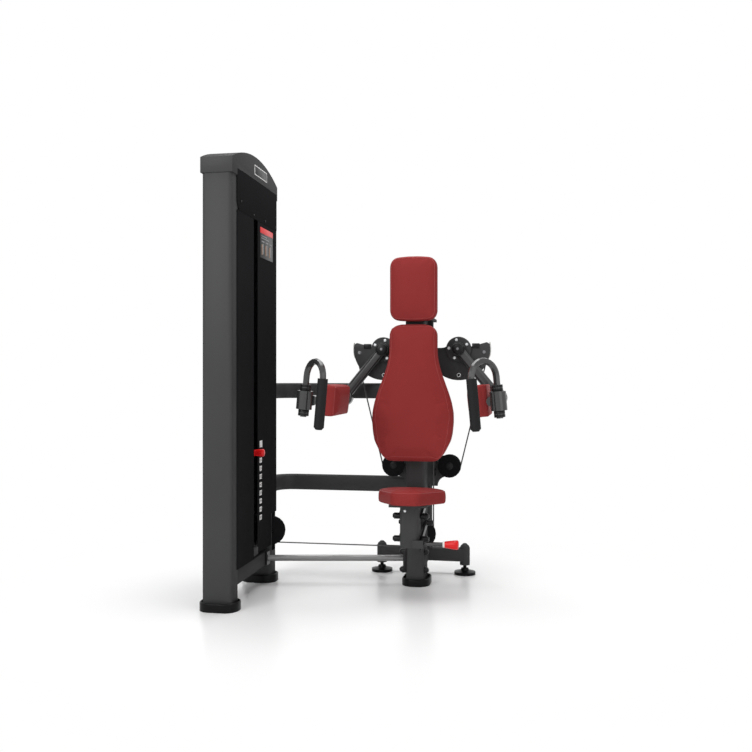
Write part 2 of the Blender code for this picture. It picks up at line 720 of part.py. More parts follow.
turned("selector_pin",
       [(0, KNOB_LOW + PIN_KNOB_L), (PIN_KNOB_R * 0.8, KNOB_LOW + PIN_KNOB_L),
        (PIN_KNOB_R, KNOB_LOW + PIN_KNOB_L - 0.005), (PIN_KNOB_R, KNOB_LOW + 0.012),
        (PIN_KNOB_R * 0.7, KNOB_LOW + 0.006), (PIN_KNOB_R * 0.7, KNOB_LOW), (PIN_R, KNOB_LOW),
        (PIN_R, -0.008), (0, -0.010)],
       RED, (TOWER_X, LIFT_Y, PIN_Z), (1, 0, 0), 16)
pulley("top_pulley_front", TOP_PULLEY_R, TOP_GROOVE, TOP_FRONT, (1, 0, 0))
pulley("top_pulley_rear", TOP_PULLEY_R, TOP_GROOVE, TOP_REAR, (1, 0, 0))
pulley("bottom_pulley", FOOT_PULLEY_R, FOOT_GROOVE, FOOT_PULLEY, FLOOR_NORMAL)

# Beams between tower and station

BASE_FRONT = BASE_Y - BASE_D / 2
BASE_BACK = BASE_Y + BASE_D / 2
REAR_FACE = REAR_Y + UPRIGHT_D / 2
MAST_LEFT = -MAST_W / 2
bend = arc(TOWER_X + BEND_R, BASE_Y - BEND_R, BEND_R, 90, 180, 6)
for name, z in (("upper_beam", UPPER_BEAM_Z), ("lower_beam", LOWER_BEAM_Z)):
    path = [(MAST_LEFT - GAP - 0.002, BASE_Y, z)] + [(x, y, z) for x, y in bend]
    path.append((TOWER_X, REAR_FACE + GAP + 0.002, z))
    node(name, swept(path, BEAM_H, BEAM_D, 0.010), FRAME_GREY,
         add=[box(MAST_LEFT - GAP - FLANGE_T, MAST_LEFT - GAP, BASE_FRONT + GAP, BASE_BACK - GAP,
                  z - FLANGE_H / 2, z + FLANGE_H / 2),
              box(TOWER_X - FLANGE_H / 2, TOWER_X + FLANGE_H / 2, REAR_FACE + GAP, REAR_FACE + GAP + FLANGE_T,
                  z - FLANGE_H / 2, z + FLANGE_H / 2)])
RAIL_FACE = TOWER_X + RAIL_W / 2
COLUMN_LEFT = -COLUMN_W / 2
node("base_link",
     cylinder((RAIL_FACE + 0.004, LINK_START_Y, LINK_Z), (COLUMN_LEFT - LINK_PLATE_T / 2, LINK_END_Y, LINK_Z), LINK_R, 16),
     FRAME_GREY,
     add=[prism([rounded(LINK_START_Y - 0.024, LINK_START_Y + 0.022, RAIL_LOW + 0.004, RAIL_TOP - 0.003, 0.006, 2)],
                "X", RAIL_FACE + GAP, RAIL_FACE + GAP + FLANGE_T),
          prism([rounded(LINK_END_Y - 0.026, LINK_END_Y + 0.052, LINK_Z - LINK_PLATE_LOW, LINK_Z + LINK_PLATE_HIGH,
                         0.010, 2)], "X", COLUMN_LEFT - GAP - LINK_PLATE_T, COLUMN_LEFT - GAP)])

# Station frame

UPPER_BACK = Vector((LINK_PIVOT_Y + LINK_LEN * math.cos(LINK_DROP), UPPER_PIVOT_Z + LINK_LEN * math.sin(LINK_DROP)))
LOWER_BACK = Vector((UPPER_BACK.x, LOWER_PIVOT_Z + LINK_LEN * math.sin(LINK_DROP)))


def cross_pin(y, z, reach, radius, sides=16):
    """A level bar from side to side."""
    return cylinder((-reach, y, z), (reach, y, z), radius, sides)


node("main_column", tube(0, 0, COLUMN_W, COLUMN_D, TUBE_WALL, BOOT_FLOOR + GAP, COLUMN_TOP), FRAME_GREY,
     cut=[joined([cross_pin(spot.x, spot.y, COLUMN_W, PIVOT_R + RUN) for spot in (UPPER_BACK, LOWER_BACK)])])
node("column_boot",
     prism([slab(0, 0, COLUMN_W + 0.040, COLUMN_D + 0.040, BOOT_CORNER, 5)], "Z", 0, BOOT_H), RUBBER,
     cut=[prism([slab(0, 0, COLUMN_W + 2 * GAP, COLUMN_D + 2 * GAP, TUBE_CORNER + GAP)], "Z",
                BOOT_FLOOR, BOOT_H + 0.01)])
HANG = (RISE - DROP).normalized()
HANG_NORMAL = Vector((-HANG.y, HANG.x, 0))
COLUMN_PULLEY_Z = COLUMN_TOP - COLUMN_PULLEY_DROP
COLUMN_PULLEY = (RISE + DROP) / 2 + Vector((0, 0, COLUMN_PULLEY_Z))
COLUMN_GROOVE = (RISE - DROP).length / 2 - SIT
BRIDGE_LOW = COLUMN_TOP + GAP
base_low = BASE_TOP - BRACKET_SINK
base_high = BASE_PULLEY_Z + BRACKET_PAST
hang_low = COLUMN_PULLEY_Z - BRACKET_PAST
hang_high = BRIDGE_LOW + BRACKET_SINK
column_back = COLUMN_D / 2
base_spot = BASE_PULLEY + FLOOR_NORMAL * BRACKET
hang_spot = COLUMN_PULLEY + HANG_NORMAL * BRACKET
foot_bores = joined([cylinder((x, BASE_Y, FOOT_POST_LOW - 0.01), (x, BASE_Y, FOOT_POST_LOW + 0.030),
                              FOOT_STEM_R + GAP, 12) for x in (-FOOT_X, FOOT_X)])
node("rear_frame",
     prism([rounded(-FOOT_X, FOOT_X, BASE_LOW, BASE_TOP, 0.008, 2)], "Y", BASE_FRONT, BASE_BACK), FRAME_GREY,
     add=[prism([rounded(-SPINE_W / 2, SPINE_W / 2, BASE_LOW + 0.001, BASE_TOP - 0.001, 0.006, 2)], "Y",
                column_back + GAP, BASE_FRONT + 0.010),
          cylinder((-FOOT_X, BASE_Y, FOOT_POST_LOW), (-FOOT_X, BASE_Y, FOOT_POST_TOP), FOOT_POST_R, 20),
          cylinder((FOOT_X, BASE_Y, FOOT_POST_LOW), (FOOT_X, BASE_Y, FOOT_POST_TOP), FOOT_POST_R, 20),
          *[cylinder((x, BASE_Y, FOOT_POST_TOP - 0.001), (x, BASE_Y, FOOT_POST_TOP + DOME / 2),
                     FOOT_POST_R - 0.0005, 20, FOOT_POST_R * 0.80) for x in (-FOOT_X, FOOT_X)],
          *[cylinder((x, BASE_Y, FOOT_POST_TOP + DOME / 2 - 0.001), (x, BASE_Y, FOOT_POST_TOP + DOME),
                     FOOT_POST_R * 0.79, 16, FOOT_POST_R * 0.35) for x in (-FOOT_X, FOOT_X)],
          prism([rounded(-MAST_W / 2, MAST_W / 2, BASE_FRONT, BASE_BACK, 0.008, 2)], "Z",
                BASE_TOP - 0.010, BRIDGE_LOW + BRIDGE_T - 0.001),
          box(-BRIDGE_HALF, BRIDGE_HALF, -column_back, BASE_BACK - 0.002, BRIDGE_LOW, BRIDGE_LOW + BRIDGE_T),
          turned_box((base_spot.x, base_spot.y, (base_low + base_high) / 2), FLOOR_DIR,
                     (BASE_BRACKET_W, BRACKET_T, base_high - base_low)),
          turned_box((hang_spot.x, hang_spot.y, (hang_low + hang_high) / 2), HANG,
                     (HANG_BRACKET_W, BRACKET_T, hang_high - hang_low)),
          cylinder(BASE_PULLEY - FLOOR_NORMAL * 0.013, base_spot, AXLE_R, 16),
          cylinder(COLUMN_PULLEY - HANG_NORMAL * 0.013, hang_spot, AXLE_R, 16)],
     cut=[foot_bores])
for name, x in (("left_foot", -FOOT_X), ("right_foot", FOOT_X)):
    turned(name,
           [(0, FOOT_POST_LOW + 0.025), (FOOT_STEM_R, FOOT_POST_LOW + 0.025), (FOOT_STEM_R, 0.030), (0.016, 0.028),
            (0.020, 0.018), (FOOT_DISC_R, 0.012), (FOOT_DISC_R, 0.0), (0, 0.0)],
           RUBBER, (x, BASE_Y, 0), (0, 0, 1), 18)

PLATE_BACK = BASE_FRONT - GAP
PLATE_FRONT = PLATE_BACK - PLATE_T
SWEEP_X = LOWER_PULLEY_X - PLATE_NECK
PLATE_FOOT = LOWER_PULLEY_Z - PLATE_LOBE_R - PLATE_SWEEP
lobes = arc(-LOWER_PULLEY_X, LOWER_PULLEY_Z, PLATE_LOBE_R, 100, 278, 10)
lobes += arc(-SWEEP_X, PLATE_FOOT, PLATE_SWEEP, 90, 0, 6)
lobes += arc(SWEEP_X, PLATE_FOOT, PLATE_SWEEP, 180, 90, 6)
lobes += arc(LOWER_PULLEY_X, LOWER_PULLEY_Z, PLATE_LOBE_R, -98, 80, 10)
waist = LOWER_PULLEY_Z + PLATE_CROWN
lobes += [(PLATE_WAIST, waist), (0, waist + 0.006), (-PLATE_WAIST, waist)]
PULLEY_FRONT = CABLE_Y - PULLEY_T / 2 - 0.002
node("pulley_plate", prism([lobes], "Y", PLATE_FRONT, PLATE_BACK), FRAME_GREY,
     add=[joined([cylinder((x, PULLEY_FRONT, LOWER_PULLEY_Z), (x, PLATE_FRONT + 0.002, LOWER_PULLEY_Z), AXLE_R, 16)
                  for x in (-LOWER_PULLEY_X, LOWER_PULLEY_X)])])
BEARING_END = PLATE_BACK + BEARING_L
SHAFT_END = BEARING_END + SHAFT_PROUD
head_end = PIVOT_X + HEAD_EDGE
head_knee = PIVOT_X - HEAD_KNEE
head_dip = PIVOT_X - HEAD_SADDLE
head_low = PIVOT_Z - HEAD_DROP
head_high = PIVOT_Z + HEAD_RISE
head_saddle = PIVOT_Z + HEAD_SADDLE_RISE
node("pivot_head",
     prism([softened([(-head_end, head_low), (head_end, head_low), (head_end, head_high),
                      (head_knee, head_high), (head_dip, head_saddle), (-head_dip, head_saddle),
                      (-head_knee, head_high), (-head_end, head_high)], 0.012, 2)],
           "Y", PLATE_FRONT, PLATE_BACK), FRAME_GREY,
     add=[joined([cylinder((x, PLATE_BACK - 0.004, PIVOT_Z), (x, BEARING_END, PIVOT_Z), BEARING_R, 20)
                  for x in (-PIVOT_X, PIVOT_X)])],
     cut=[joined([cylinder((x, PLATE_FRONT - 0.01, PIVOT_Z), (x, BEARING_END + 0.01, PIVOT_Z), SHAFT_R + RUN, 20)
                  for x in (-PIVOT_X, PIVOT_X)])])
for name, x in (("lower_pulley_left", -LOWER_PULLEY_X), ("lower_pulley_right", LOWER_PULLEY_X)):
    pulley(name, LOWER_PULLEY_R, LOWER_GROOVE, (x, CABLE_Y, LOWER_PULLEY_Z), (0, 1, 0))
pulley("base_pulley", BASE_PULLEY_R, BASE_GROOVE, BASE_PULLEY, FLOOR_NORMAL)
pulley("column_top_pulley", COLUMN_PULLEY_R, COLUMN_GROOVE, COLUMN_PULLEY, HANG_NORMAL)
pulley("floating_pulley", FLOAT_PULLEY_R, FLOAT_GROOVE, (0, CABLE_Y, FLOAT_Z), (0, 1, 0))
FORK_IN = PULLEY_T / 2 + 0.0015
FORK_OUT = FORK_IN + 0.004
FORK_W = 0.012
FORK_TOP = FLOAT_Z + FLOAT_PULLEY_R + 0.024
node("floating_fork",
     prism([slab(0, (FLOAT_Z - 0.014 + FORK_TOP) / 2, 2 * FORK_W, FORK_TOP - FLOAT_Z + 0.014, 0.006, 2)], "Y",
           CABLE_Y - FORK_OUT, CABLE_Y + FORK_OUT), STEEL_GREY,
     cut=[box(-0.020, 0.020, CABLE_Y - FORK_IN, CABLE_Y + FORK_IN, FLOAT_Z - 0.030, FORK_TOP - 0.014)],
     origin=(0, CABLE_Y, FLOAT_Z))
fork = bpy.data.objects["floating_fork"]
axle = bpy.data.objects.new("floating_fork_axle",
                            cylinder((0, CABLE_Y - FORK_OUT + 0.001, FLOAT_Z),
                                     (0, CABLE_Y + FORK_OUT - 0.001, FLOAT_Z), AXLE_R, 16))
axle.hide_render = True
axle.display_type = "WIRE"
CUTTERS.objects.link(axle)
step = fork.modifiers.new("axle", "BOOLEAN")
step.operation = "UNION"
step.solver = "EXACT"
step.object = axle

# Back pad, headrest and their frame

COLUMN_FRONT = -COLUMN_D / 2
HEAD_PLATE = COLUMN_FRONT - GAP - PLATE_T
BACK_REAR_TOP = HEAD_PLATE - 0.003


def back_plane(z):
    """Where the leaning back pad's rear face is, at a height."""
    return BACK_REAR_TOP - (BACK_TOP - z) * math.tan(BACK_LEAN)


FRAME_FOOT = BACK_LOW + 0.040
node("pad_frame",
     prism([[(COLUMN_FRONT - GAP, FRAME_FOOT), (COLUMN_FRONT - GAP, HEAD_TOP - 0.020), (HEAD_PLATE, HEAD_TOP - 0.020),
             (HEAD_PLATE, BACK_TOP), (back_plane(BACK_TOP) + GAP, BACK_TOP - 0.004),
             (back_plane(FRAME_FOOT) + GAP, FRAME_FOOT)]], "X", -PAD_FRAME_W / 2, PAD_FRAME_W / 2), FRAME_GREY)


def back_half_width(z):
    """Bottle-shaped outline: a narrow neck that swells into a wide belly."""
    if z > BACK_BELLY_Z:
        t = min((z - BACK_BELLY_Z) / (BACK_NECK_Z - BACK_BELLY_Z), 1)
        return BACK_BELLY + (BACK_NECK - BACK_BELLY) * t * t * (3 - 2 * t)
    return BACK_BELLY - 0.010 * ((BACK_BELLY_Z - z) / 0.092) ** 2


levels = [BACK_LOW + (BACK_TOP - BACK_LOW) * k / 14 for k in range(15)]
right_edge = [(back_half_width(z), (z - BACK_LOW) / math.cos(BACK_LEAN)) for z in levels]
back_loop = right_edge + [(-x, v) for x, v in reversed(right_edge)]
bottom_left = softened([back_loop[-2], back_loop[-1], back_loop[0]], 0.035, 4)[5:10]
bottom_right = softened([back_loop[-1], back_loop[0], back_loop[1]], 0.035, 4)[5:10]
top_right = softened([back_loop[13], back_loop[14], back_loop[15]], 0.025, 4)[5:10]
top_left = softened([back_loop[14], back_loop[15], back_loop[16]], 0.025, 4)[5:10]
back_loop = bottom_right + back_loop[1:14] + top_right + top_left + back_loop[16:-1] + bottom_left
sine = math.sin(BACK_LEAN)
cosine = math.cos(BACK_LEAN)
back_place = Matrix((
    (1, 0, 0, 0), (0, sine, -cosine, back_plane(BACK_LOW)), (0, cosine, sine, BACK_LOW), (0, 0, 0, 1)))
node("back_pad", cushion(back_loop, BACK_T, 0.008, 0.005, back_place), VINYL)
head_place = Matrix(((1, 0, 0, 0), (0, 0, -1, HEAD_PLATE - GAP), (0, 1, 0, 0), (0, 0, 0, 1)))
head_mid = (HEAD_LOW + HEAD_TOP) / 2
head_half = (HEAD_TOP - HEAD_LOW) / 2
head_loop = []
corners = rounded(-HEAD_W / 2, HEAD_W / 2, HEAD_LOW + HEAD_ARCH, HEAD_TOP - HEAD_ARCH, HEAD_CORNER, 4)
for start, stop in zip(corners, corners[1:] + corners[:1]):
    count = max(1, math.ceil(abs(stop[0] - start[0]) / 0.045))
    for k in range(count):
        x = start[0] + (stop[0] - start[0]) * k / count
        z = start[1] + (stop[1] - start[1]) * k / count
        head_loop.append((x, z + HEAD_ARCH * (1 - (2 * x / HEAD_W) ** 2) * (z - head_mid) / head_half))
node("headrest", cushion(head_loop, HEAD_T, 0.007, 0.005, head_place), VINYL)

# Arms, cams, pads and handles: drawn for the left side and mirrored

CAM_T = 2 * CAM_PLATE + CAM_CORE
CAM_FRONT = CABLE_Y - CAM_T / 2
CAM_BACK = CABLE_Y + CAM_T / 2
LEAN = Matrix.Translation((-BAR_X, 0, ARM_Z)) @ Matrix.Rotation(SLEEVE_LEAN, 4, "Y") @ Matrix.Translation(
    (BAR_X, 0, -ARM_Z))
SLEEVE = LEAN @ Vector((-ARM_X, SLEEVE_Y, ARM_Z))
UP = LEAN.to_3x3() @ Vector((0, 0, 1))
INWARD = LEAN.to_3x3() @ Vector((1, 0, 0))
SWING = INWARD * math.cos(HANDLE_TURN) + Vector((0, -1, 0)) * math.sin(HANDLE_TURN)


def cam_outline(radius, drop):
    """A half disc with a round lobe over the shaft and a raised outer tip."""
    loop = arc(-PIVOT_X, PIVOT_Z, radius, CAM_TIP + 4, 360, 24)
    loop[-1] = (loop[-1][0], PIVOT_Z - drop)
    lobe = arc(-PIVOT_X, PIVOT_Z, CAM_LOBE - drop, 0, CAM_TIP + 2, 10)
    lobe[0] = (lobe[0][0], PIVOT_Z - drop)
    nose = arc(-PIVOT_X, PIVOT_Z, radius - CAM_NOSE, CAM_TIP + drop, CAM_TIP + 1, 1)[:1]
    return loop + lobe + nose


def leaning(mesh):
    """Lean a shape about the forward bar."""
    mesh.transform(LEAN)
    return mesh


def handle_point(out, up):
    """A point in the handle's own plane."""
    return SLEEVE + SWING * out + UP * up


PAD_PLATE_OUT = BAR_X - BAR_R + 0.002
PAD_PLATE_IN = PAD_PLATE_OUT - 0.0095
PAD_REAR = PAD_PLATE_IN - GAP
HALF_SLEEVE = SLEEVE_H / 2
flat_oval = slab(0, 0, ARM_WIDE, ARM_THICK, ARM_THICK / 2 - 0.0005, 5)
for label, side in (("left", -1), ("right", 1)):
    pivot = (side * PIVOT_X, CABLE_Y, PIVOT_Z)
    hub = cylinder((-PIVOT_X, HUB_FRONT, PIVOT_Z), (-PIVOT_X, CAM_FRONT - GAP, PIVOT_Z), HUB_R, 20)
    limb = bar((-PIVOT_X, ARM_Y, PIVOT_Z), (-BAR_X, ARM_Y, ARM_Z), flat_oval, (-0.77, 0, 0.64))
    elbow = cylinder((-BAR_X, ARM_Y + 0.016, ARM_Z), (-BAR_X, SLEEVE_Y + 0.012, ARM_Z), BAR_R, 16)
    shaft = cylinder((-PIVOT_X, HUB_FRONT + 0.010, PIVOT_Z), (-PIVOT_X, SHAFT_END, PIVOT_Z), SHAFT_R, 16)
    sleeve = cylinder(SLEEVE - UP * HALF_SLEEVE, SLEEVE + UP * HALF_SLEEVE, SLEEVE_R, 20)
    plate = leaning(prism([rounded(PAD_FRONT + 0.020, PAD_BACK - 0.020, ARM_Z - 0.045, ARM_Z + 0.045, 0.010, 2)],
                          "X", -PAD_PLATE_OUT, -PAD_PLATE_IN))
    bore = cylinder(SLEEVE - UP * (HALF_SLEEVE + 0.01), SLEEVE + UP * (HALF_SLEEVE + 0.01), HANDLE_R + RUN, 20)
    node(label + "_arm", mirrored(hub, side), FRAME_GREY, pivot,
         add=[mirrored(shape, side) for shape in (limb, shaft, elbow, sleeve, plate)],
         cut=[mirrored(bore, side)])

    core = prism([cam_outline(CAM_GROOVE, 0.001)], "Y", CAM_FRONT + 0.001, CAM_BACK - 0.001)
    front_plate = prism([cam_outline(CAM_R, 0)], "Y", CAM_FRONT, CAM_FRONT + CAM_PLATE)
    back_plate = prism([cam_outline(CAM_R, 0)], "Y", CAM_BACK - CAM_PLATE, CAM_BACK)
    cam_bore = cylinder((-PIVOT_X, CAM_FRONT - 0.01, PIVOT_Z), (-PIVOT_X, CAM_BACK + 0.01, PIVOT_Z), SHAFT_R + GAP, 20)
    ring_z = PIVOT_Z - CAM_RING_DROP
    ring_hole = cylinder((-PIVOT_X, CAM_FRONT - 0.01, ring_z), (-PIVOT_X, CAM_BACK + 0.01, ring_z), CAM_RING_R, 12)
    node(label + "_cam", mirrored(core, side), STEEL_GREY, pivot,
         add=[mirrored(front_plate, side), mirrored(back_plate, side)],
         cut=[mirrored(cam_bore, side), mirrored(ring_hole, side)])
    wound = arc(-PIVOT_X, PIVOT_Z, CAM_GROOVE + SIT, CAM_TIP + 8, 270, 16)
    node(label + "_cam_cable", mirrored(pipe([(x, CABLE_Y, z) for x, z in wound], CABLE_R), side), WIRE, pivot)

    pad_place = LEAN @ Matrix(((0, 0, 1, -PAD_REAR), (1, 0, 0, 0), (0, 1, 0, ARM_Z + PAD_RISE), (0, 0, 0, 1)))
    pad = cushion(rounded(PAD_FRONT, PAD_BACK, -PAD_H / 2, PAD_H / 2, 0.012, 4), PAD_T, 0.003, 0.003, pad_place)
    node(label + "_arm_pad", mirrored(pad, side), VINYL, pivot)

    turn = HANDLE_SPAN / 2
    path = [handle_point(0, -HALF_SLEEVE - COLLAR_H - 0.004), handle_point(0, HANDLE_RISE)]
    path += [handle_point(turn - turn * math.cos(a), HANDLE_RISE + turn * math.sin(a))
             for a in [math.pi * k / 12 for k in range(1, 13)]]
    path.append(handle_point(HANDLE_SPAN, GRIP_LOW + 0.008))
    swivel = (-side * SLEEVE.x, SLEEVE.y, SLEEVE.z)
    upper = cylinder(handle_point(0, HALF_SLEEVE + GAP), handle_point(0, HALF_SLEEVE + COLLAR_H), COLLAR_R, 20)
    lower = cylinder(handle_point(0, -HALF_SLEEVE - COLLAR_H), handle_point(0, -HALF_SLEEVE - GAP), COLLAR_R, 20)
    node(label + "_handle", mirrored(pipe(path, HANDLE_R, 2), side), STEEL_GREY, swivel,
         add=[mirrored(upper, side), mirrored(lower, side)])
    grip = cylinder(handle_point(HANDLE_SPAN, GRIP_LOW), handle_point(HANDLE_SPAN, GRIP_TOP), GRIP_R, 20)
    socket = cylinder(handle_point(HANDLE_SPAN, GRIP_LOW + 0.007), handle_point(HANDLE_SPAN, GRIP_TOP + 0.01),
                      HANDLE_R + GAP, 20)
    dome = cylinder(handle_point(HANDLE_SPAN, GRIP_LOW + 0.001), handle_point(HANDLE_SPAN, GRIP_LOW - GRIP_DOME),
                    GRIP_R - 0.0005, 20, GRIP_R * 0.6)
    node(label + "_grip", mirrored(grip, side), RUBBER, swivel, add=[mirrored(dome, side)],
         cut=[mirrored(socket, side)])

# Seat and its parallel links

slope = math.tan(SEAT_TILT)
SEAT_UNDER = SEAT_TOP - SEAT_T / math.cos(SEAT_TILT)


def seat_plane(y):
    """Height of the tilted seat's underside."""
    return SEAT_UNDER - (y - SEAT_FRONT) * slope


seat_loop = softened([(-SEAT_NOSE, SEAT_FRONT), (SEAT_NOSE, SEAT_FRONT), (SEAT_WIDE, SEAT_WIDE_Y),
                      (SEAT_BACK_W, SEAT_REAR), (-SEAT_BACK_W, SEAT_REAR), (-SEAT_WIDE, SEAT_WIDE_Y)], SEAT_CORNER, 6)
tilt_sine = math.sin(SEAT_TILT)
tilt_cosine = math.cos(SEAT_TILT)
seat_place = Matrix((
    (1, 0, 0, 0), (0, tilt_cosine, tilt_sine, SEAT_FRONT), (0, -tilt_sine, tilt_cosine, SEAT_UNDER),
    (0, 0, 0, 1))) @ Matrix.Translation((0, -SEAT_FRONT, 0))
UPPER_FRONT = Vector((LINK_PIVOT_Y, UPPER_PIVOT_Z))
LOWER_FRONT = Vector((LINK_PIVOT_Y, LOWER_PIVOT_Z))
seat_origin = (0, UPPER_FRONT.x, UPPER_FRONT.y)
node("seat_pad", cushion(seat_loop, SEAT_T, 0.006, 0.005, seat_place), VINYL, seat_origin)
BAR_IN = COLUMN_W / 2 + SLIDE
BAR_OUT = BAR_IN + LINK_BAR_T
LUG_IN = BAR_OUT + 0.003
LUG_OUT = LUG_IN + 0.006
CARRIER_MID = CARRIER_FRONT + CARRIER_D / 2
PLATE_Y0 = SEAT_FRONT + 0.060
PLATE_Y1 = SEAT_REAR - 0.020
CARRIER_TOP = seat_plane(CARRIER_FRONT + CARRIER_D) - GAP - BOARD_BITE
node("seat_carrier", tube(0, CARRIER_MID, CARRIER_W, CARRIER_D, CARRIER_WALL, CARRIER_LOW, CARRIER_TOP), FRAME_GREY,
     seat_origin,
     add=[prism([[(PLATE_Y0, seat_plane(PLATE_Y0) - GAP - BOARD_T), (PLATE_Y1, seat_plane(PLATE_Y1) - GAP - BOARD_T),
                  (PLATE_Y1, seat_plane(PLATE_Y1) - GAP), (PLATE_Y0, seat_plane(PLATE_Y0) - GAP)]],
                "X", -BOARD_W / 2, BOARD_W / 2),
          box(0.015, LUG_OUT, CARRIER_FRONT - 0.0083, CARRIER_FRONT + 0.0005, LOCK_Z - 0.016, LOCK_Z + 0.016),
          box(LUG_IN, LUG_OUT - 0.0005, CARRIER_FRONT - 0.0078, LOCK_Y + 0.018, LOCK_Z - 0.0155, LOCK_Z + 0.0155)],
     cut=[joined([cross_pin(spot.x, spot.y, COLUMN_W, PIVOT_R + RUN) for spot in (UPPER_FRONT, LOWER_FRONT)]),
          cylinder((LUG_IN - 0.002, LOCK_Y, LOCK_Z), (LUG_OUT + 0.01, LOCK_Y, LOCK_Z), LOCK_R + RUN, 12)])


def link_shape(front, back):
    """Both side bars of a link, as outlines in (y, z)."""
    half = LINK_BAR_W / 2
    lean = math.degrees(math.atan2(back.y - front.y, back.x - front.x))
    loop = arc(back.x, back.y, half, lean - 90, lean + 90, 6)
    return loop + arc(front.x, front.y, half, lean + 90, lean + 270, 6)


def caps(spot):
    """Domed pivot caps on both sides of a link."""
    near = BAR_OUT - 0.001
    far = BAR_OUT + PIVOT_CAP_L - 0.006
    end = BAR_OUT + PIVOT_CAP_L
    shapes = []
    for side in (-1, 1):
        shapes.append(cylinder((side * near, spot.x, spot.y), (side * far, spot.x, spot.y), PIVOT_CAP_R, 12))
    return shapes, [cylinder((side * (far - 0.001), spot.x, spot.y), (side * end, spot.x, spot.y),
                             PIVOT_CAP_R - 0.0005, 12, PIVOT_CAP_R * 0.6) for side in (-1, 1)]


lock = Vector((LOCK_Y, LOCK_Z)) - LOWER_FRONT
stops = [LOWER_FRONT + Matrix.Rotation(LOCK_STEP * k, 2) @ lock for k in range(LOCK_STOPS)]
heading = math.degrees(math.atan2(lock.y, lock.x)) % 360
sector = arc(LOWER_FRONT.x, LOWER_FRONT.y, lock.length + 0.0085, heading - 12, heading + 40, 8)
sector.append((LOWER_FRONT.x + 0.006, LOWER_FRONT.y - 0.010))
sector.append((LOWER_FRONT.x + 0.004, LOWER_FRONT.y + 0.011))
sector_plate = prism([sector], "X", BAR_IN + 0.0002, BAR_OUT - 0.0002)
lock_holes = joined([cylinder((BAR_IN - 0.005, spot.x, spot.y), (BAR_OUT + 0.002, spot.x, spot.y),
                              LOCK_R + RUN, 12) for spot in stops])
for name, front, back in (("upper_link", UPPER_FRONT, UPPER_BACK), ("lower_link", LOWER_FRONT, LOWER_BACK)):
    loop = link_shape(front, back)
    barrels, domes = [], []
    for spot in (front, back):
        straight, ends = caps(spot)
        barrels += straight
        domes += ends
    extra = [sector_plate] if name == "lower_link" else []
    node(name, prism([loop], "X", -BAR_OUT, -BAR_IN), FRAME_GREY, (0, back.x, back.y),
         add=[joined([cross_pin(spot.x, spot.y, BAR_OUT - 0.002, PIVOT_R) for spot in (front, back)]),
              prism([loop], "X", BAR_IN, BAR_OUT)] + extra + [joined(barrels), joined(domes)],
         cut=[lock_holes] if extra else [])
TIP = BAR_OUT + GAP
SHOULDER = LUG_OUT + GAP + LOCK_TRAVEL
turned("seat_pull_pin",
       [(0, LEVER_END + LEVER_GRIP_L), (LEVER_GRIP_BIG - 0.003, LEVER_END + LEVER_GRIP_L),
        (LEVER_GRIP_BIG, LEVER_END + LEVER_GRIP_L - 0.004), (LEVER_GRIP_SMALL, LEVER_END), (LEVER_R, LEVER_END),
        (LEVER_R, SHOULDER), (LOCK_R, SHOULDER), (LOCK_R, TIP), (0, TIP)],
       RED, (0, LOCK_Y, LOCK_Z), (1, 0, 0), 20)

# Cables

def tangent(first, r1, second, r2, hand):
    """Unit normal of the line that touches two circles in the cable plane; hand picks the side."""
    run = second - first
    share = (r1 - r2) / run.length
    along = run.normalized()
    across = Vector((-along.y, along.x)) * hand
    return along * share + across * math.sqrt(1 - share * share)


def heading_of(vector):
    """Angle of a direction in degrees."""
    return math.degrees(math.atan2(vector.y, vector.x))


CAM_LINE = CAM_GROOVE + SIT
LOWER_LINE = LOWER_GROOVE + SIT
FLOAT_LINE = FLOAT_GROOVE + SIT
cam_spot = Vector((-PIVOT_X, PIVOT_Z))
lower_spot = Vector((-LOWER_PULLEY_X, LOWER_PULLEY_Z))
float_spot = Vector((0, FLOAT_Z))
leave = tangent(cam_spot, CAM_LINE, lower_spot, LOWER_LINE, -1)
climb = tangent(lower_spot, LOWER_LINE, float_spot, -FLOAT_LINE, -1)
CABLE_END = 0.044
cam_touch = cam_spot + leave * CAM_LINE
lower_touch = lower_spot + leave * LOWER_LINE
left_run = [cam_touch + (lower_touch - cam_touch).normalized() * CABLE_END]
left_run += [Vector(p) for p in arc(lower_spot.x, lower_spot.y, LOWER_LINE, heading_of(leave) % 360,
                                    360 + heading_of(climb), 14)]
left_run += [Vector(p) for p in arc(0, FLOAT_Z, FLOAT_LINE, heading_of(-climb), 90, 8)]
right_run = [Vector((-spot.x, spot.y)) for spot in reversed(left_run[:-1])]
node("arm_cable", pipe([(spot.x, CABLE_Y, spot.y) for spot in left_run + right_run], CABLE_R), WIRE)


def ring(centre, along, radius, start, stop, steps):
    """Points round a pulley whose plane holds the given level direction and the vertical."""
    return [tuple(Vector(centre) + Vector(along) * u + Vector((0, 0, v))
                  for u, v in [spot])[0] for spot in arc(0, 0, radius, start, stop, steps)]


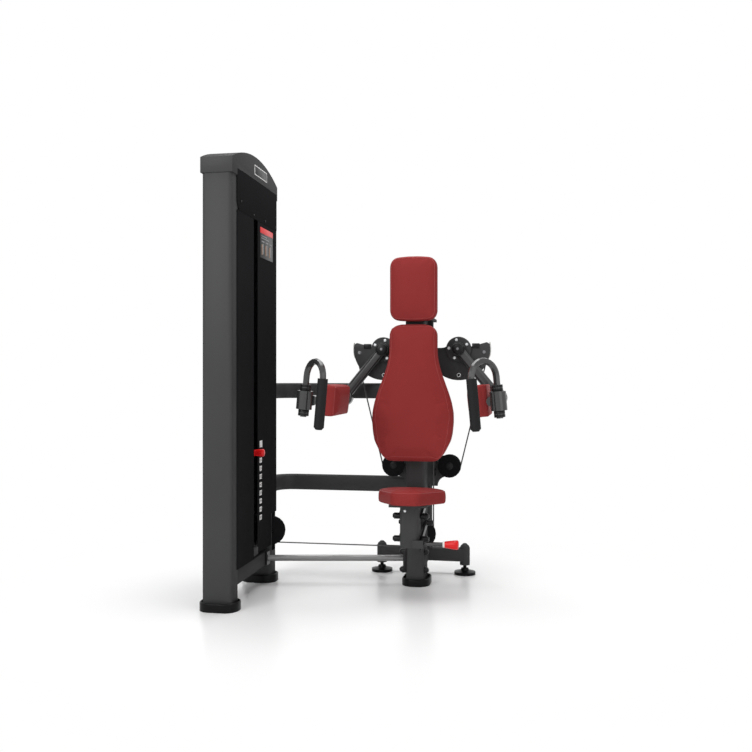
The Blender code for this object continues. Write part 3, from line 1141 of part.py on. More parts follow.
back_dir = Vector((0, 1, 0))
main_run = ring(TOP_FRONT, back_dir, TOP_GROOVE + SIT, 180, 90, 8)
main_run += ring(TOP_REAR, back_dir, TOP_GROOVE + SIT, 90, 0, 8)
main_run += ring(FOOT_PULLEY, FLOOR_DIR, FOOT_GROOVE + SIT, 180, 270, 8)
main_run += ring(BASE_PULLEY, FLOOR_DIR, BASE_GROOVE + SIT, 270, 360, 8)
main_run += ring(COLUMN_PULLEY, -HANG, (RISE - DROP).length / 2, 180, 0, 14)
node("main_cable", pipe([tuple(spot) for spot in main_run], CABLE_R), WIRE)
node("lift_cable", pipe([(TOWER_X, LIFT_Y, EYE_TOP + GAP), (TOWER_X, LIFT_Y, TOP_PULLEY_Z - JOIN)], CABLE_R), WIRE)
node("block_cable", pipe([(0, CABLE_Y, FORK_TOP + GAP), (0, CABLE_Y, COLUMN_PULLEY_Z - JOIN)], CABLE_R), WIRE)
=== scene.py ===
"""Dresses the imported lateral-raise machine: finishes, upholstery, fasteners, cables and a studio."""

import math

import bmesh
import bpy
from bpy.props import FloatProperty, FloatVectorProperty, IntProperty, PointerProperty
from mathutils import Matrix, Vector


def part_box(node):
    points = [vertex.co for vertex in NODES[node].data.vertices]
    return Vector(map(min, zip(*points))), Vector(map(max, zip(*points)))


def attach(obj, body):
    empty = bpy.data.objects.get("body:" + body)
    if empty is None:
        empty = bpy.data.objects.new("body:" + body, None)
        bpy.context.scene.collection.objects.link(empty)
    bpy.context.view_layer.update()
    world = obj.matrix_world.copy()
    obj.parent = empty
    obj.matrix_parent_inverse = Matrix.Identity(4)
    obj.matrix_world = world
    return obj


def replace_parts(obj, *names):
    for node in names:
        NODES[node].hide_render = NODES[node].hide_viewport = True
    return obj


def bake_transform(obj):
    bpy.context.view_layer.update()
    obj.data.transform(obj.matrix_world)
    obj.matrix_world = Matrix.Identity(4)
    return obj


bl_info = {
    "name": "Lateral raise machine",
    "version": (1, 0, 0),
    "blender": (4, 5, 0),
    "location": "View3D > Sidebar > Machine",
    "description": "Finishes, upholstery, fasteners, cables and studio for a lateral-raise machine",
    "category": "Object",
}

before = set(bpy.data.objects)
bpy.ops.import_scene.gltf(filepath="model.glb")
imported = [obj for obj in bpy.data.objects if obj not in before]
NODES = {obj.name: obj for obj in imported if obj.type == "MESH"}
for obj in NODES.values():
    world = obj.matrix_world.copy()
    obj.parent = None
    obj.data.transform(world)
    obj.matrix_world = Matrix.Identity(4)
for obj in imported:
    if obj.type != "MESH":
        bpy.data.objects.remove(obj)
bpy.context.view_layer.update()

# Places that several steps share, in metres. Left and right are the same distance from the middle.
PIVOT_X = 0.169  # arm shafts
PIVOT_Z = 1.014
BAR_X = 0.345  # forward bars of the arms
BAR_Z = 0.800
CABLE_Y = 0.150  # plane of the arm cable
PULLEY_X = 0.126  # lower pulleys
PULLEY_Z = 0.493
BLOCK_Z = 0.850  # floating pulley
CAM_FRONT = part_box("left_cam")[0].y
RING_DROP = 0.1145  # inspection ring of a cam, below its shaft
TOWER_X = -0.684  # middle of the tower
LIFT_Y = -0.3175  # middle of the stack
SKIN_BACK = -0.6242  # the tower's panels
SKIN_FACE = -0.6206
LEAN = math.radians(5)  # tilt of the arm pads and handle sleeves
PAD_LEAN = math.radians(4)  # tilt of the back pad and the seat
SLEEVE_OUT = 0.026
SLEEVE = Vector((-BAR_X - SLEEVE_OUT * math.cos(LEAN), -0.4875, BAR_Z + SLEEVE_OUT * math.sin(LEAN)))
SLEEVE_UP = Vector((math.sin(LEAN), 0, math.cos(LEAN)))
SIDES = (("left", -1), ("right", 1))
FRONT = (0, -1, 0)
MERGE = 0.00001  # points closer than this are one
CREASE = math.radians(34)  # edges sharper than this stay crisp


def colour(title, words, value):
    """A colour a user may change."""
    return FloatVectorProperty(name=title, description=words, subtype="COLOR", size=3, min=0, max=1,
                               default=value)


def length(title, words, value):
    """A length a user may change."""
    return FloatProperty(name=title, description=words, unit="LENGTH", min=0, default=value)


class MachineColours(bpy.types.PropertyGroup):
    """Colours of the machine's finishes."""
    frame_paint: colour("Frame paint", "Powder coat on all welded tube", (0.060, 0.060, 0.061))
    arm_metal: colour("Arm metal", "Lighter grey of the lever arms and handles", (0.072, 0.072, 0.073))
    cam_metal: colour("Cam metal", "Grey of the half-round cams", (0.058, 0.058, 0.059))
    panel_black: colour("Panel black", "Shroud panels beside the stack", (0.017, 0.017, 0.018))
    rubber_black: colour("Rubber black", "Boots, feet and buffers", (0.005, 0.005, 0.0055))
    vinyl_red: colour("Vinyl red", "Upholstery", (0.248, 0.0325, 0.0320))
    welt_red: colour("Welt red", "Edge welts of the upholstery", (0.315, 0.050, 0.050))
    knob_red: colour("Knob red", "Selector knob and seat lever grip", (0.700, 0.008, 0.010))
    stack_black: colour("Stack black", "Weight plates", (0.020, 0.020, 0.022))
    label_white: colour("Label white", "Number labels and lever ring", (0.750, 0.750, 0.740))


class MachineSizes(bpy.types.PropertyGroup):
    """Sizes of the small pieces."""
    bolt_radius: length("Bolt radius", "Half the width of a flange bolt's head", 0.0062)
    bolt_height: length("Bolt height", "Height of a flange bolt's head", 0.0050)
    cap_radius: length("Cap radius", "Radius of a domed through-bolt cap", 0.0125)
    cap_height: length("Cap height", "Height of a domed through-bolt cap", 0.0180)
    cable_radius: length("Cable radius", "Half the thickness of the wire rope", 0.0030)
    pad_voxel: length("Pad voxel", "Mesh size used to puff the pads", 0.0055)
    pad_swell: length("Pad swell", "Farthest that foam may swell", 0.0050)
    welt_radius: length("Welt radius", "Half the thickness of a sewn welt", 0.0013)
    pad_pressure: FloatProperty(name="Pad pressure", description="Air pressure under the vinyl", min=0,
                                default=4)
    pad_stiffness: FloatProperty(name="Pad stiffness", description="How little the vinyl gives", min=0,
                                 default=25)
    pad_frames: IntProperty(name="Pad frames", description="Steps of the foam settling", min=1, default=20)


class MachineStage(bpy.types.PropertyGroup):
    """Studio values."""
    floor_tone: colour("Floor tone", "Pale studio floor", (0.95, 0.95, 0.95))
    key_power: FloatProperty(name="Key power", description="Main lamp", min=0, default=102)
    fill_power: FloatProperty(name="Fill power", description="Second lamp", min=0, default=18)
    top_power: FloatProperty(name="Top power", description="Overhead lamp", min=0, default=138)
    world_level: FloatProperty(name="World level", description="Even light from all round", min=0,
                               default=0.35)


def settings():
    """The scene's own values."""
    return bpy.context.scene


# Materials

def shade(name, tone, rough, metal, spread, patch, grain, relief, gloss_level=0.2, kind="noise"):
    """A procedural finish: uneven tone, uneven gloss and a fine surface grain."""
    material = bpy.data.materials.new(name)
    material.use_nodes = True
    tree = material.node_tree
    shader = tree.nodes["Principled BSDF"]
    shader.inputs["Metallic"].default_value = metal
    shader.inputs["Specular IOR Level"].default_value = gloss_level
    place = tree.nodes.new("ShaderNodeTexCoord")
    cloud = tree.nodes.new("ShaderNodeTexNoise")
    cloud.inputs["Scale"].default_value = patch
    cloud.inputs["Detail"].default_value = 4
    tree.links.new(place.outputs["Object"], cloud.inputs["Vector"])
    blend = tree.nodes.new("ShaderNodeMix")
    blend.data_type = "RGBA"
    blend.inputs["A"].default_value = (*[c * (1 - spread) for c in tone], 1)
    blend.inputs["B"].default_value = (*[min(c * (1 + spread), 1) for c in tone], 1)
    tree.links.new(cloud.outputs["Fac"], blend.inputs["Factor"])
    tree.links.new(blend.outputs["Result"], shader.inputs["Base Color"])
    gloss = tree.nodes.new("ShaderNodeMapRange")
    gloss.inputs["To Min"].default_value = rough * 0.85
    gloss.inputs["To Max"].default_value = min(rough * 1.15, 1)
    tree.links.new(cloud.outputs["Fac"], gloss.inputs["Value"])
    tree.links.new(gloss.outputs["Result"], shader.inputs["Roughness"])
    if kind == "leather":
        fine = tree.nodes.new("ShaderNodeTexVoronoi")
        fine.feature = "SMOOTH_F1"
        out = "Distance"
    elif kind == "rings":
        fine = tree.nodes.new("ShaderNodeTexWave")
        fine.bands_direction = "Z"
        out = "Fac"
    else:
        fine = tree.nodes.new("ShaderNodeTexNoise")
        fine.inputs["Detail"].default_value = 2
        out = "Fac"
    fine.inputs["Scale"].default_value = grain
    tree.links.new(place.outputs["Object"], fine.inputs["Vector"])
    bump = tree.nodes.new("ShaderNodeBump")
    bump.inputs["Strength"].default_value = relief
    bump.inputs["Distance"].default_value = 0.0006
    tree.links.new(fine.outputs[out], bump.inputs["Height"])
    tree.links.new(bump.outputs["Normal"], shader.inputs["Normal"])
    return material


FINISH = {}


def make_finishes():
    """All finishes, by the words used below.

    The numbers are roughness, metal, spread of tone, patches and grain per metre, relief and gloss level.
    """
    tones = settings().machine_colours
    FINISH["paint"] = shade("frame_powder_coat", tones.frame_paint, 0.36, 0.10, 0.07, 5, 900, 0.10, 0.0)
    FINISH["arm"] = shade("arm_satin_metal", tones.arm_metal, 0.18, 0.65, 0.07, 7, 800, 0.03, 0.3)
    FINISH["cam"] = shade("cam_plate_paint", tones.cam_metal, 0.38, 0.15, 0.07, 9, 900, 0.08, 0.05)
    FINISH["panel"] = shade("gloss_panel", tones.panel_black, 0.20, 0.0, 0.15, 4, 300, 0.02, 0.0)
    FINISH["rubber"] = shade("boot_rubber", tones.rubber_black, 0.30, 0.0, 0.2, 20, 1200, 0.12, 0.10)
    FINISH["grip"] = shade("grip_rubber", (0.011, 0.011, 0.012), 0.60, 0.0, 0.2, 30, 180, 0.35, 0.15,
                           "rings")
    FINISH["pulley"] = shade("pulley_nylon", (0.006, 0.006, 0.007), 0.42, 0.0, 0.2, 18, 900, 0.12, 0.06)
    FINISH["rod"] = shade("guide_rod_chrome", (0.66, 0.67, 0.68), 0.14, 1.0, 0.04, 12, 600, 0.02)
    FINISH["stack"] = shade("stack_enamel", tones.stack_black, 0.48, 0.1, 0.25, 25, 700, 0.30)
    FINISH["vinyl"] = shade("red_vinyl", tones.vinyl_red, 0.46, 0.0, 0.06, 7, 620, 0.22, 0.012, "leather")
    FINISH["welt"] = shade("red_vinyl_welt", tones.welt_red, 0.45, 0.0, 0.06, 7, 900, 0.15, 0.15)
    FINISH["red"] = shade("red_knob_plastic", tones.knob_red, 0.32, 0.0, 0.06, 15, 800, 0.06, 0.3)
    FINISH["wire"] = shade("wire_sheath", (0.085, 0.085, 0.085), 0.42, 0.1, 0.15, 60, 900, 0.20)
    FINISH["steel"] = shade("bright_steel", (0.56, 0.57, 0.58), 0.26, 1.0, 0.06, 30, 900, 0.06)
    # The pale tone of the cable on the cams is painted highlight; the same rope is dark grey on its outer
    # runs.
    FINISH["pale_wire"] = shade("wire_sheath_painted_highlight", (0.62, 0.62, 0.60), 0.40, 0.1, 0.08, 60, 900, 0.20)
    # The base link's light grey tone, far lighter than the arms' metal, is painted highlight along the tube's
    # top.
    FINISH["link"] = shade("base_link_painted_highlight_metal", (0.22, 0.22, 0.22), 0.24, 0.55, 0.07, 7, 800, 0.04, 0.3)
    FINISH["tan"] = shade("placard_tan", (0.33, 0.20, 0.13), 0.50, 0.0, 0.2, 60, 900, 0.05)
    FINISH["dull_steel"] = shade("dull_steel", (0.20, 0.20, 0.21), 0.34, 0.8, 0.10, 30, 900, 0.08)
    # Black steel for bolts, caps, collars and clamps; on the upper and lower links and the hub sleeves it is
    # painted shade.
    FINISH["black_steel"] = shade("blackened_steel_and_painted_shade", (0.014, 0.014, 0.015), 0.35, 0.2, 0.2, 30, 900, 0.12)
    FINISH["white"] = shade("label_white", tones.label_white, 0.50, 0.0, 0.03, 30, 900, 0.05)


NODE_FINISH = {
    "paint": """tower_front_upright tower_rear_upright tower_base_rail tower_top_rail tower_cap upper_beam
        lower_beam main_column rear_frame pad_frame pivot_head pulley_plate seat_carrier""",
    "arm": "left_arm right_arm left_handle right_handle floating_fork",
    "link": "base_link",
    # The upper and lower links take the black finish as painted shade: they sit in shadow beside the seat
    # carrier.
    "black_steel": "upper_link lower_link",
    "cam": "left_cam right_cam",
    "panel": "header_panel shroud_front shroud_rear shroud_left",
    "rubber": "tower_front_boot tower_rear_boot column_boot left_foot right_foot stack_buffer",
    "grip": "left_grip right_grip",
    "rod": "guide_rod_front guide_rod_rear",
    "stack": "weight_stack carriage",
    "pulley": """top_pulley_front top_pulley_rear bottom_pulley lower_pulley_left lower_pulley_right
        base_pulley column_top_pulley floating_pulley""",
    "vinyl": "back_pad headrest left_arm_pad right_arm_pad seat_pad",
    "red": "selector_pin seat_pull_pin",
    "wire": "main_cable arm_cable lift_cable block_cable",
    # The cam cables' pale tone is painted highlight.
    "pale_wire": "left_cam_cable right_cam_cable",
}


# Widths of the softened edges
FINE_EDGE = 0.0012
EDGE = {name: FINE_EDGE for name in """upper_beam lower_beam pulley_plate pivot_head left_cam right_cam
    seat_carrier upper_link lower_link weight_stack pad_frame tower_base_rail tower_top_rail header_panel
    shroud_front shroud_rear shroud_left main_column rear_frame tower_front_upright
    tower_rear_upright""".split()}
EDGE.update({"tower_front_boot": 0.007, "tower_rear_boot": 0.007, "column_boot": 0.007, "stack_buffer": 0.004,
             "tower_cap": 0.006})


# Shared modelling steps

def finished(name, bm, finish, body, smooth=40):
    """Close a bmesh into a piece that rides on a body."""
    bmesh.ops.remove_doubles(bm, verts=bm.verts, dist=MERGE)
    bmesh.ops.recalc_face_normals(bm, faces=bm.faces)
    mesh = bpy.data.meshes.new(name)
    bm.to_mesh(mesh)
    bm.free()
    for material in finish if isinstance(finish, list) else [finish]:
        mesh.materials.append(FINISH[material])
    for polygon in mesh.polygons:
        polygon.use_smooth = True
    mesh.set_sharp_from_angle(angle=math.radians(smooth))
    piece = bpy.data.objects.new(name, mesh)
    bpy.context.scene.collection.objects.link(piece)
    if body:
        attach(piece, body)
    return piece


def facing(spot, axis):
    """Matrix that stands a shape's Z along an axis at a spot."""
    return Matrix.Translation(spot) @ Vector(axis).to_track_quat("Z", "Y").to_matrix().to_4x4()


class Fresh:
    """Gives the faces made inside it one of the piece's finishes."""

    def __init__(self, bm, material):
        self.bm = bm
        self.material = material

    def __enter__(self):
        self.old_verts = set(self.bm.verts)
        self.old_faces = set(self.bm.faces)
        return self

    def verts(self):
        """The points made so far."""
        return [v for v in self.bm.verts if v not in self.old_verts]

    def __exit__(self, *problem):
        for face in self.bm.faces:
            if face not in self.old_faces:
                face.material_index = self.material


def add_turned(bm, profile, spot, axis, steps=24, material=0):
    """Spin a profile of (radius, height) round an axis."""
    with Fresh(bm, material) as fresh:
        verts = [bm.verts.new((radius, 0, height)) for radius, height in profile]
        edges = [bm.edges.new(pair) for pair in zip(verts, verts[1:])]
        bmesh.ops.spin(bm, geom=verts + edges, cent=(0, 0, 0), axis=(0, 0, 1), dvec=(0, 0, 0),
                       angle=math.tau, steps=steps, use_merge=True, use_normal_flip=False,
                       use_duplicate=False)
        bmesh.ops.transform(bm, matrix=facing(spot, axis), verts=fresh.verts())


def add_hex(bm, spot, axis, radius, height, material=0):
    """A hexagon bolt head on a round washer."""
    washer = height * 0.28
    edge = radius * 1.32
    add_turned(bm, [(0, washer), (radius * 1.25, washer), (edge, height * 0.18), (edge, 0), (0, 0)],
               spot, axis, 20, material)
    start = Vector(spot) + Vector(axis) * (washer + height * 0.36)
    with Fresh(bm, material):
        made = bmesh.ops.create_cone(bm, cap_ends=True, segments=6, radius1=radius, radius2=radius,
                                     depth=height * 0.72, matrix=facing(start, axis))
        edges = list({e for v in made["verts"] for e in v.link_edges})
        bmesh.ops.bevel(bm, geom=edges, affect="EDGES", offset=radius * 0.10, segments=1, profile=0.5,
                        material=-1)


def add_dome(bm, spot, axis, radius, height, material=0):
    """A round cap with a flange and a domed top."""
    brim = 0.004
    rise = height - brim
    curve = [(radius * math.sin(a), brim + rise * math.cos(a)) for a in
             [math.radians(d) for d in range(0, 91, 15)]]
    add_turned(bm, curve + [(radius * 1.18, brim), (radius * 1.22, 0.003), (radius * 1.22, 0), (0, 0)],
               spot, axis, 24, material)


def add_block(bm, low, high, round_off=0.001, material=0, turn=None):
    """A block with softened edges, turned if asked."""
    low = Vector(low)
    high = Vector(high)
    with Fresh(bm, material) as fresh:
        made = bmesh.ops.create_cube(bm, size=1, matrix=Matrix.Translation((low + high) / 2)
                                     @ Matrix.Diagonal((*(high - low), 1)))
        edges = list({e for v in made["verts"] for e in v.link_edges})
        bmesh.ops.bevel(bm, geom=edges, affect="EDGES", offset=round_off, segments=2, profile=0.5,
                        material=-1)
        if turn:
            bmesh.ops.transform(bm, matrix=turn, verts=fresh.verts())


def add_words(bm, words, size, place, material=0):
    """A raised numeral."""
    curve = bpy.data.curves.new("numeral", "FONT")
    curve.body = words
    curve.size = size
    curve.extrude = 0.0002
    curve.align_x = "CENTER"
    curve.align_y = "CENTER"
    holder = bpy.data.objects.new("numeral", curve)
    mesh = bpy.data.meshes.new_from_object(holder)
    bpy.data.objects.remove(holder)
    with Fresh(bm, material) as fresh:
        bm.from_mesh(mesh)
        bmesh.ops.transform(bm, matrix=place, verts=fresh.verts())


def arm_lean(side):
    """The tilt of an arm's pad and sleeve about its forward bar."""
    hinge = Matrix.Translation((side * BAR_X, 0, BAR_Z))
    return hinge @ Matrix.Rotation(-side * LEAN, 4, "Y") @ hinge.inverted()


def wire(name, points, radius, sides=12, ring=False):
    """A round wire along points, as a mesh."""
    curve = bpy.data.curves.new(name, "CURVE")
    curve.dimensions = "3D"
    curve.bevel_depth = radius
    curve.bevel_resolution = sides // 4
    curve.use_fill_caps = True
    spline = curve.splines.new("POLY")
    spline.points.add(len(points) - 1)
    spline.use_cyclic_u = ring
    for point, spot in zip(spline.points, points):
        point.co = (*spot, 1)
    holder = bpy.data.objects.new(name, curve)
    mesh = bpy.data.meshes.new_from_object(holder)
    bpy.data.objects.remove(holder)
    bm = bmesh.new()
    bm.from_mesh(mesh)
    return bm


def circle(cx, cz, radius, start, stop, steps):
    """Points round a pulley in the cable plane."""
    spots = []
    for k in range(steps + 1):
        a = math.radians(start + (stop - start) * k / steps)
        spots.append((cx + radius * math.cos(a), CABLE_Y, cz + radius * math.sin(a)))
    return spots


# Operators

class MACHINE_OT_finishes(bpy.types.Operator):
    """Give every solid its finish and soft shading"""
    bl_idname = "machine.finishes"
    bl_label = "Finishes"

    def execute(self, context):
        make_finishes()
        for finish, names in NODE_FINISH.items():
            for name in names.split():
                thing = NODES[name]
                thing.data.materials.clear()
                thing.data.materials.append(FINISH[finish])
                for polygon in thing.data.polygons:
                    polygon.use_smooth = True
                if name == "base_link":
                    darken_clamp(thing)
                weld = thing.modifiers.new("weld", "WELD")
                weld.merge_threshold = MERGE
                if name in EDGE:
                    soft = thing.modifiers.new("soft_edges", "BEVEL")
                    soft.width = EDGE[name]
                    soft.segments = 2
                    soft.limit_method = "ANGLE"
                    soft.angle_limit = CREASE
                split = thing.modifiers.new("crisp", "EDGE_SPLIT")
                split.split_angle = CREASE
        return {"FINISHED"}


def darken_clamp(thing):
    """Blacken the clamps at both ends of the base link."""
    tower_end, column_end = -0.595, -0.062
    thing.data.materials.append(FINISH["black_steel"])
    for polygon in thing.data.polygons:
        if not tower_end < (thing.matrix_world @ polygon.center).x < column_end:
            polygon.material_index = 1


# The back pad's rounded ends: the slant of each cut in degrees, and a half width and height on it.
BACK_CUTS = ((15, 0.0994, 1.0744), (35, 0.0923, 1.0895), (55, 0.0805, 1.1013), (75, 0.0654, 1.1084),
             (-19, 0.1610, 0.6310), (-27, 0.1375, 0.5820), (-35, 0.1313, 0.5717), (-43, 0.1195, 0.5580),
             (-58, 0.1065, 0.5455), (-72, 0.0915, 0.5400))


def puffed(name, node, out, body, welt_share, rounds, hold, cuts=()):
    """Upholstered pad: remeshed, swollen a little by cloth pressure, flat where it is carried.

    The welt and the hold are shares of the pad's thickness along out. Below the hold, nothing moves.
    """
    values = settings().machine_sizes
    bm = bmesh.new()
    bm.from_mesh(NODES[node].data)
    bmesh.ops.remove_doubles(bm, verts=bm.verts, dist=MERGE)
    trim_corners(bm, cuts)
    mesh = bpy.data.meshes.new(name)
    bm.to_mesh(mesh)
    bm.free()
    piece = bpy.data.objects.new(name, mesh)
    bpy.context.scene.collection.objects.link(piece)
    remesh = piece.modifiers.new("even", "REMESH")
    remesh.mode = "VOXEL"
    remesh.voxel_size = values.pad_voxel
    baked(piece)
    soften = piece.modifiers.new("soften", "SMOOTH")
    soften.factor = 0.5
    soften.iterations = rounds[0]
    baked(piece)
    rest = [v.co.copy() for v in piece.data.vertices]
    heights = [co.dot(out) for co in rest]
    low = min(heights)
    thick = max(heights) - low
    held = piece.vertex_groups.new(name="held")
    held.add([k for k, h in enumerate(heights) if h < low + hold * thick], 1.0, "REPLACE")
    cloth = piece.modifiers.new("foam", "CLOTH")
    cloth.settings.use_pressure = True
    cloth.settings.uniform_pressure_force = values.pad_pressure
    cloth.settings.effector_weights.gravity = 0
    cloth.settings.vertex_group_mass = "held"
    cloth.settings.tension_stiffness = values.pad_stiffness
    cloth.settings.compression_stiffness = values.pad_stiffness
    cloth.point_cache.frame_start = 1
    cloth.point_cache.frame_end = values.pad_frames
    for step in range(1, values.pad_frames + 1):
        bpy.context.scene.frame_set(step)
    baked(piece)
    bpy.context.scene.frame_set(1)
    for vertex, start in zip(piece.data.vertices, rest):
        move = vertex.co - start
        if move.length > values.pad_swell:
            vertex.co = start + move.normalized() * values.pad_swell
    piece.vertex_groups.clear()
    even = piece.modifiers.new("even", "SMOOTH")
    even.factor = 0.5
    even.iterations = rounds[1]
    baked(piece)
    piece.data.materials.clear()
    piece.data.materials.append(FINISH["vinyl"])
    for polygon in piece.data.polygons:
        polygon.use_smooth = True
    finer = piece.modifiers.new("finer", "SUBSURF")
    finer.levels = 1
    finer.render_levels = 1
    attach(piece, body)
    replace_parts(piece, node)
    welt(name + "_welt0", piece.data, out, low + thick * welt_share, body)


def trim_corners(bm, cuts):
    """Round the ends of an upright pad by slanted cuts, the same on both sides."""
    for turn, half, height in cuts:
        a = math.radians(turn)
        for side in (-1, 1):
            bmesh.ops.bisect_plane(bm, geom=bm.verts[:] + bm.edges[:] + bm.faces[:], dist=MERGE,
                                   plane_co=(side * half, 0, height),
                                   plane_no=(side * math.cos(a), 0, math.sin(a)), clear_outer=True)
            bmesh.ops.holes_fill(bm, edges=[e for e in bm.edges if e.is_boundary])


def welt(name, pad, out, level, body):
    """A sewn welt where a level plane cuts the pad's edge."""
    bm = bmesh.new()
    bm.from_mesh(pad)
    cut = bmesh.ops.bisect_plane(bm, geom=bm.verts[:] + bm.edges[:] + bm.faces[:], dist=MERGE,
                                 plane_co=out * level, plane_no=out, clear_inner=True, clear_outer=True)
    edges = [e for e in cut["geom_cut"] if isinstance(e, bmesh.types.BMEdge)]
    here = edges[0].verts[0]
    path = [here.co.copy()]
    used = set()
    while True:
        step = next((e for e in here.link_edges if e in edges and e not in used), None)
        if step is None:
            break
        used.add(step)
        here = step.other_vert(here)
        path.append(here.co.copy())
    bm.free()
    finished(name, wire(name, path[:-1], settings().machine_sizes.welt_radius, 8, True), "welt", body)


def baked(piece):
    """Apply a piece's modifiers to its mesh."""
    view = bpy.context.evaluated_depsgraph_get()
    mesh = bpy.data.meshes.new_from_object(piece.evaluated_get(view))
    piece.modifiers.clear()
    piece.data = mesh


class MACHINE_OT_upholstery(bpy.types.Operator):
    """Make the back pad, headrest, seat and arm pads"""
    bl_idname = "machine.upholstery"
    bl_label = "Upholstery"

    def execute(self, context):
        forward = Vector((0, -math.cos(PAD_LEAN), math.sin(PAD_LEAN)))
        upward = Vector((0, math.sin(PAD_LEAN), math.cos(PAD_LEAN)))
        puffed("back_cushion", "back_pad", forward, "frame", 0.84, (3, 4), 0.72, BACK_CUTS)
        puffed("headrest_cushion", "headrest", Vector(FRONT), "frame", 0.84, (3, 4), 0.72)
        puffed("seat_cushion", "seat_pad", upward, "seat", 0.80, (2, 2), 0.86)
        for label, side in SIDES:
            inward = Vector((-side * math.cos(LEAN), 0, -math.sin(LEAN)))
            arm = label + "_arm"
            puffed(arm + "_cushion", arm + "_pad", inward, arm, 0.88, (1, 2), 0.86)
        for label, side in SIDES:
            bm = bmesh.new()
            near, far = sorted((side * 0.3060, side * 0.3290))
            add_block(bm, (near, -0.4585, 0.7440), (far, -0.1915, 0.8640), 0.0045, 0, arm_lean(side))
            finished(label + "_pad_back", bm, "vinyl", label + "_arm")
        return {"FINISHED"}


def shoe(name, node, tall, corner):
    """A low rubber cup with a raised rim round the foot of a post."""
    rim_round, rim_wide, sunk = 0.005, 0.004, 0.012
    low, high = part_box(node)
    size = Vector((high.x - low.x, high.y - low.y, tall))
    middle = Vector(((low.x + high.x) / 2, (low.y + high.y) / 2, tall / 2))
    bm = bmesh.new()
    bmesh.ops.create_cube(bm, size=1, matrix=Matrix.Translation(middle) @ Matrix.Diagonal((*size, 1)))
    posts = [e for e in bm.edges if abs(e.verts[0].co.z - e.verts[1].co.z) > tall / 2]
    bmesh.ops.bevel(bm, geom=posts, affect="EDGES", offset=corner, segments=8, profile=0.5, material=-1)
    top = max(bm.faces, key=lambda face: face.calc_center_median().z)
    rim = list(top.edges)
    bmesh.ops.bevel(bm, geom=rim, affect="EDGES", offset=rim_round, segments=3, profile=0.5, material=-1)
    top = max(bm.faces, key=lambda face: (round(face.calc_center_median().z, 4), face.calc_area()))
    bmesh.ops.inset_region(bm, faces=[top], thickness=rim_wide, depth=0)
    bmesh.ops.translate(bm, vec=(0, 0, -sunk), verts=list(top.verts))
    piece = finished(name, bm, "rubber", "frame", 50)
    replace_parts(piece, node)


class MACHINE_OT_shoes(bpy.types.Operator):
    """Make the rubber cups under the posts"""
    bl_idname = "machine.shoes"
    bl_label = "Shoes"

    def execute(self, context):
        shoe("tower_front_shoe", "tower_front_boot", 0.034, 0.050)
        shoe("tower_rear_shoe", "tower_rear_boot", 0.034, 0.050)
        shoe("column_shoe", "column_boot", 0.030, 0.052)
        return {"FINISHED"}


class MACHINE_OT_fasteners(bpy.types.Operator):
    """Add flange bolts, pulley bolts and domed through-bolt caps"""
    bl_idname = "machine.fasteners"
    bl_label = "Fasteners"

    def execute(self, context):
        sizes = settings().machine_sizes
        radius = sizes.bolt_radius
        height = sizes.bolt_height
        flange, mast_y = 0.008, 0.210
        bm = bmesh.new()
        for name in ("upper_beam", "lower_beam"):
            low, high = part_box(name)
            middle = (low.z + high.z) / 2
            for dy in (-0.013, 0.013):
                for dz in (-0.0425, 0.0425):
                    add_hex(bm, (high.x - flange, mast_y + dy, middle + dz), (-1, 0, 0), radius, height)
            for dx in (-0.037, 0.037):
                for dz in (-0.036, 0.036):
                    add_hex(bm, (TOWER_X + dx, low.y + flange, middle + dz), (0, 1, 0), radius, height)
        plate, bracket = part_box("pulley_plate")
        for side in (-1, 1):
            add_hex(bm, (side * PULLEY_X, plate.y, PULLEY_Z), FRONT, 0.0075, 0.006)
        for z in (0.472, 0.452):
            for x in (0.056, -0.056):
                add_hex(bm, (x, bracket.y - flange, z), FRONT, 0.006, 0.005)
        for dz in (-0.030, 0.030):
            for dx in (-0.018, 0.018):
                add_hex(bm, (dx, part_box("pivot_head")[0].y, PIVOT_Z + dz), FRONT, radius, height)
        finished("frame_bolts", bm, "black_steel", "frame")
        bm = bmesh.new()
        link_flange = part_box("base_link")[1].x - 0.012
        column_side, column_y = 0.040, -0.042
        for z in (0.066, 0.143):
            add_dome(bm, (link_flange, column_y, z), (-1, 0, 0), sizes.cap_radius, sizes.cap_height)
            add_dome(bm, (column_side, column_y, z), (1, 0, 0), sizes.cap_radius, sizes.cap_height)
        finished("through_bolt_caps", bm, "black_steel", "frame")
        bm = bmesh.new()
        add_dome(bm, (-0.0086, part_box("seat_carrier")[0].y, 0.355), FRONT, 0.0045, 0.006)
        finished("carrier_bolt", bm, "steel", "seat")
        for label, side in SIDES:
            cam_fittings(label, side)
        return {"FINISHED"}


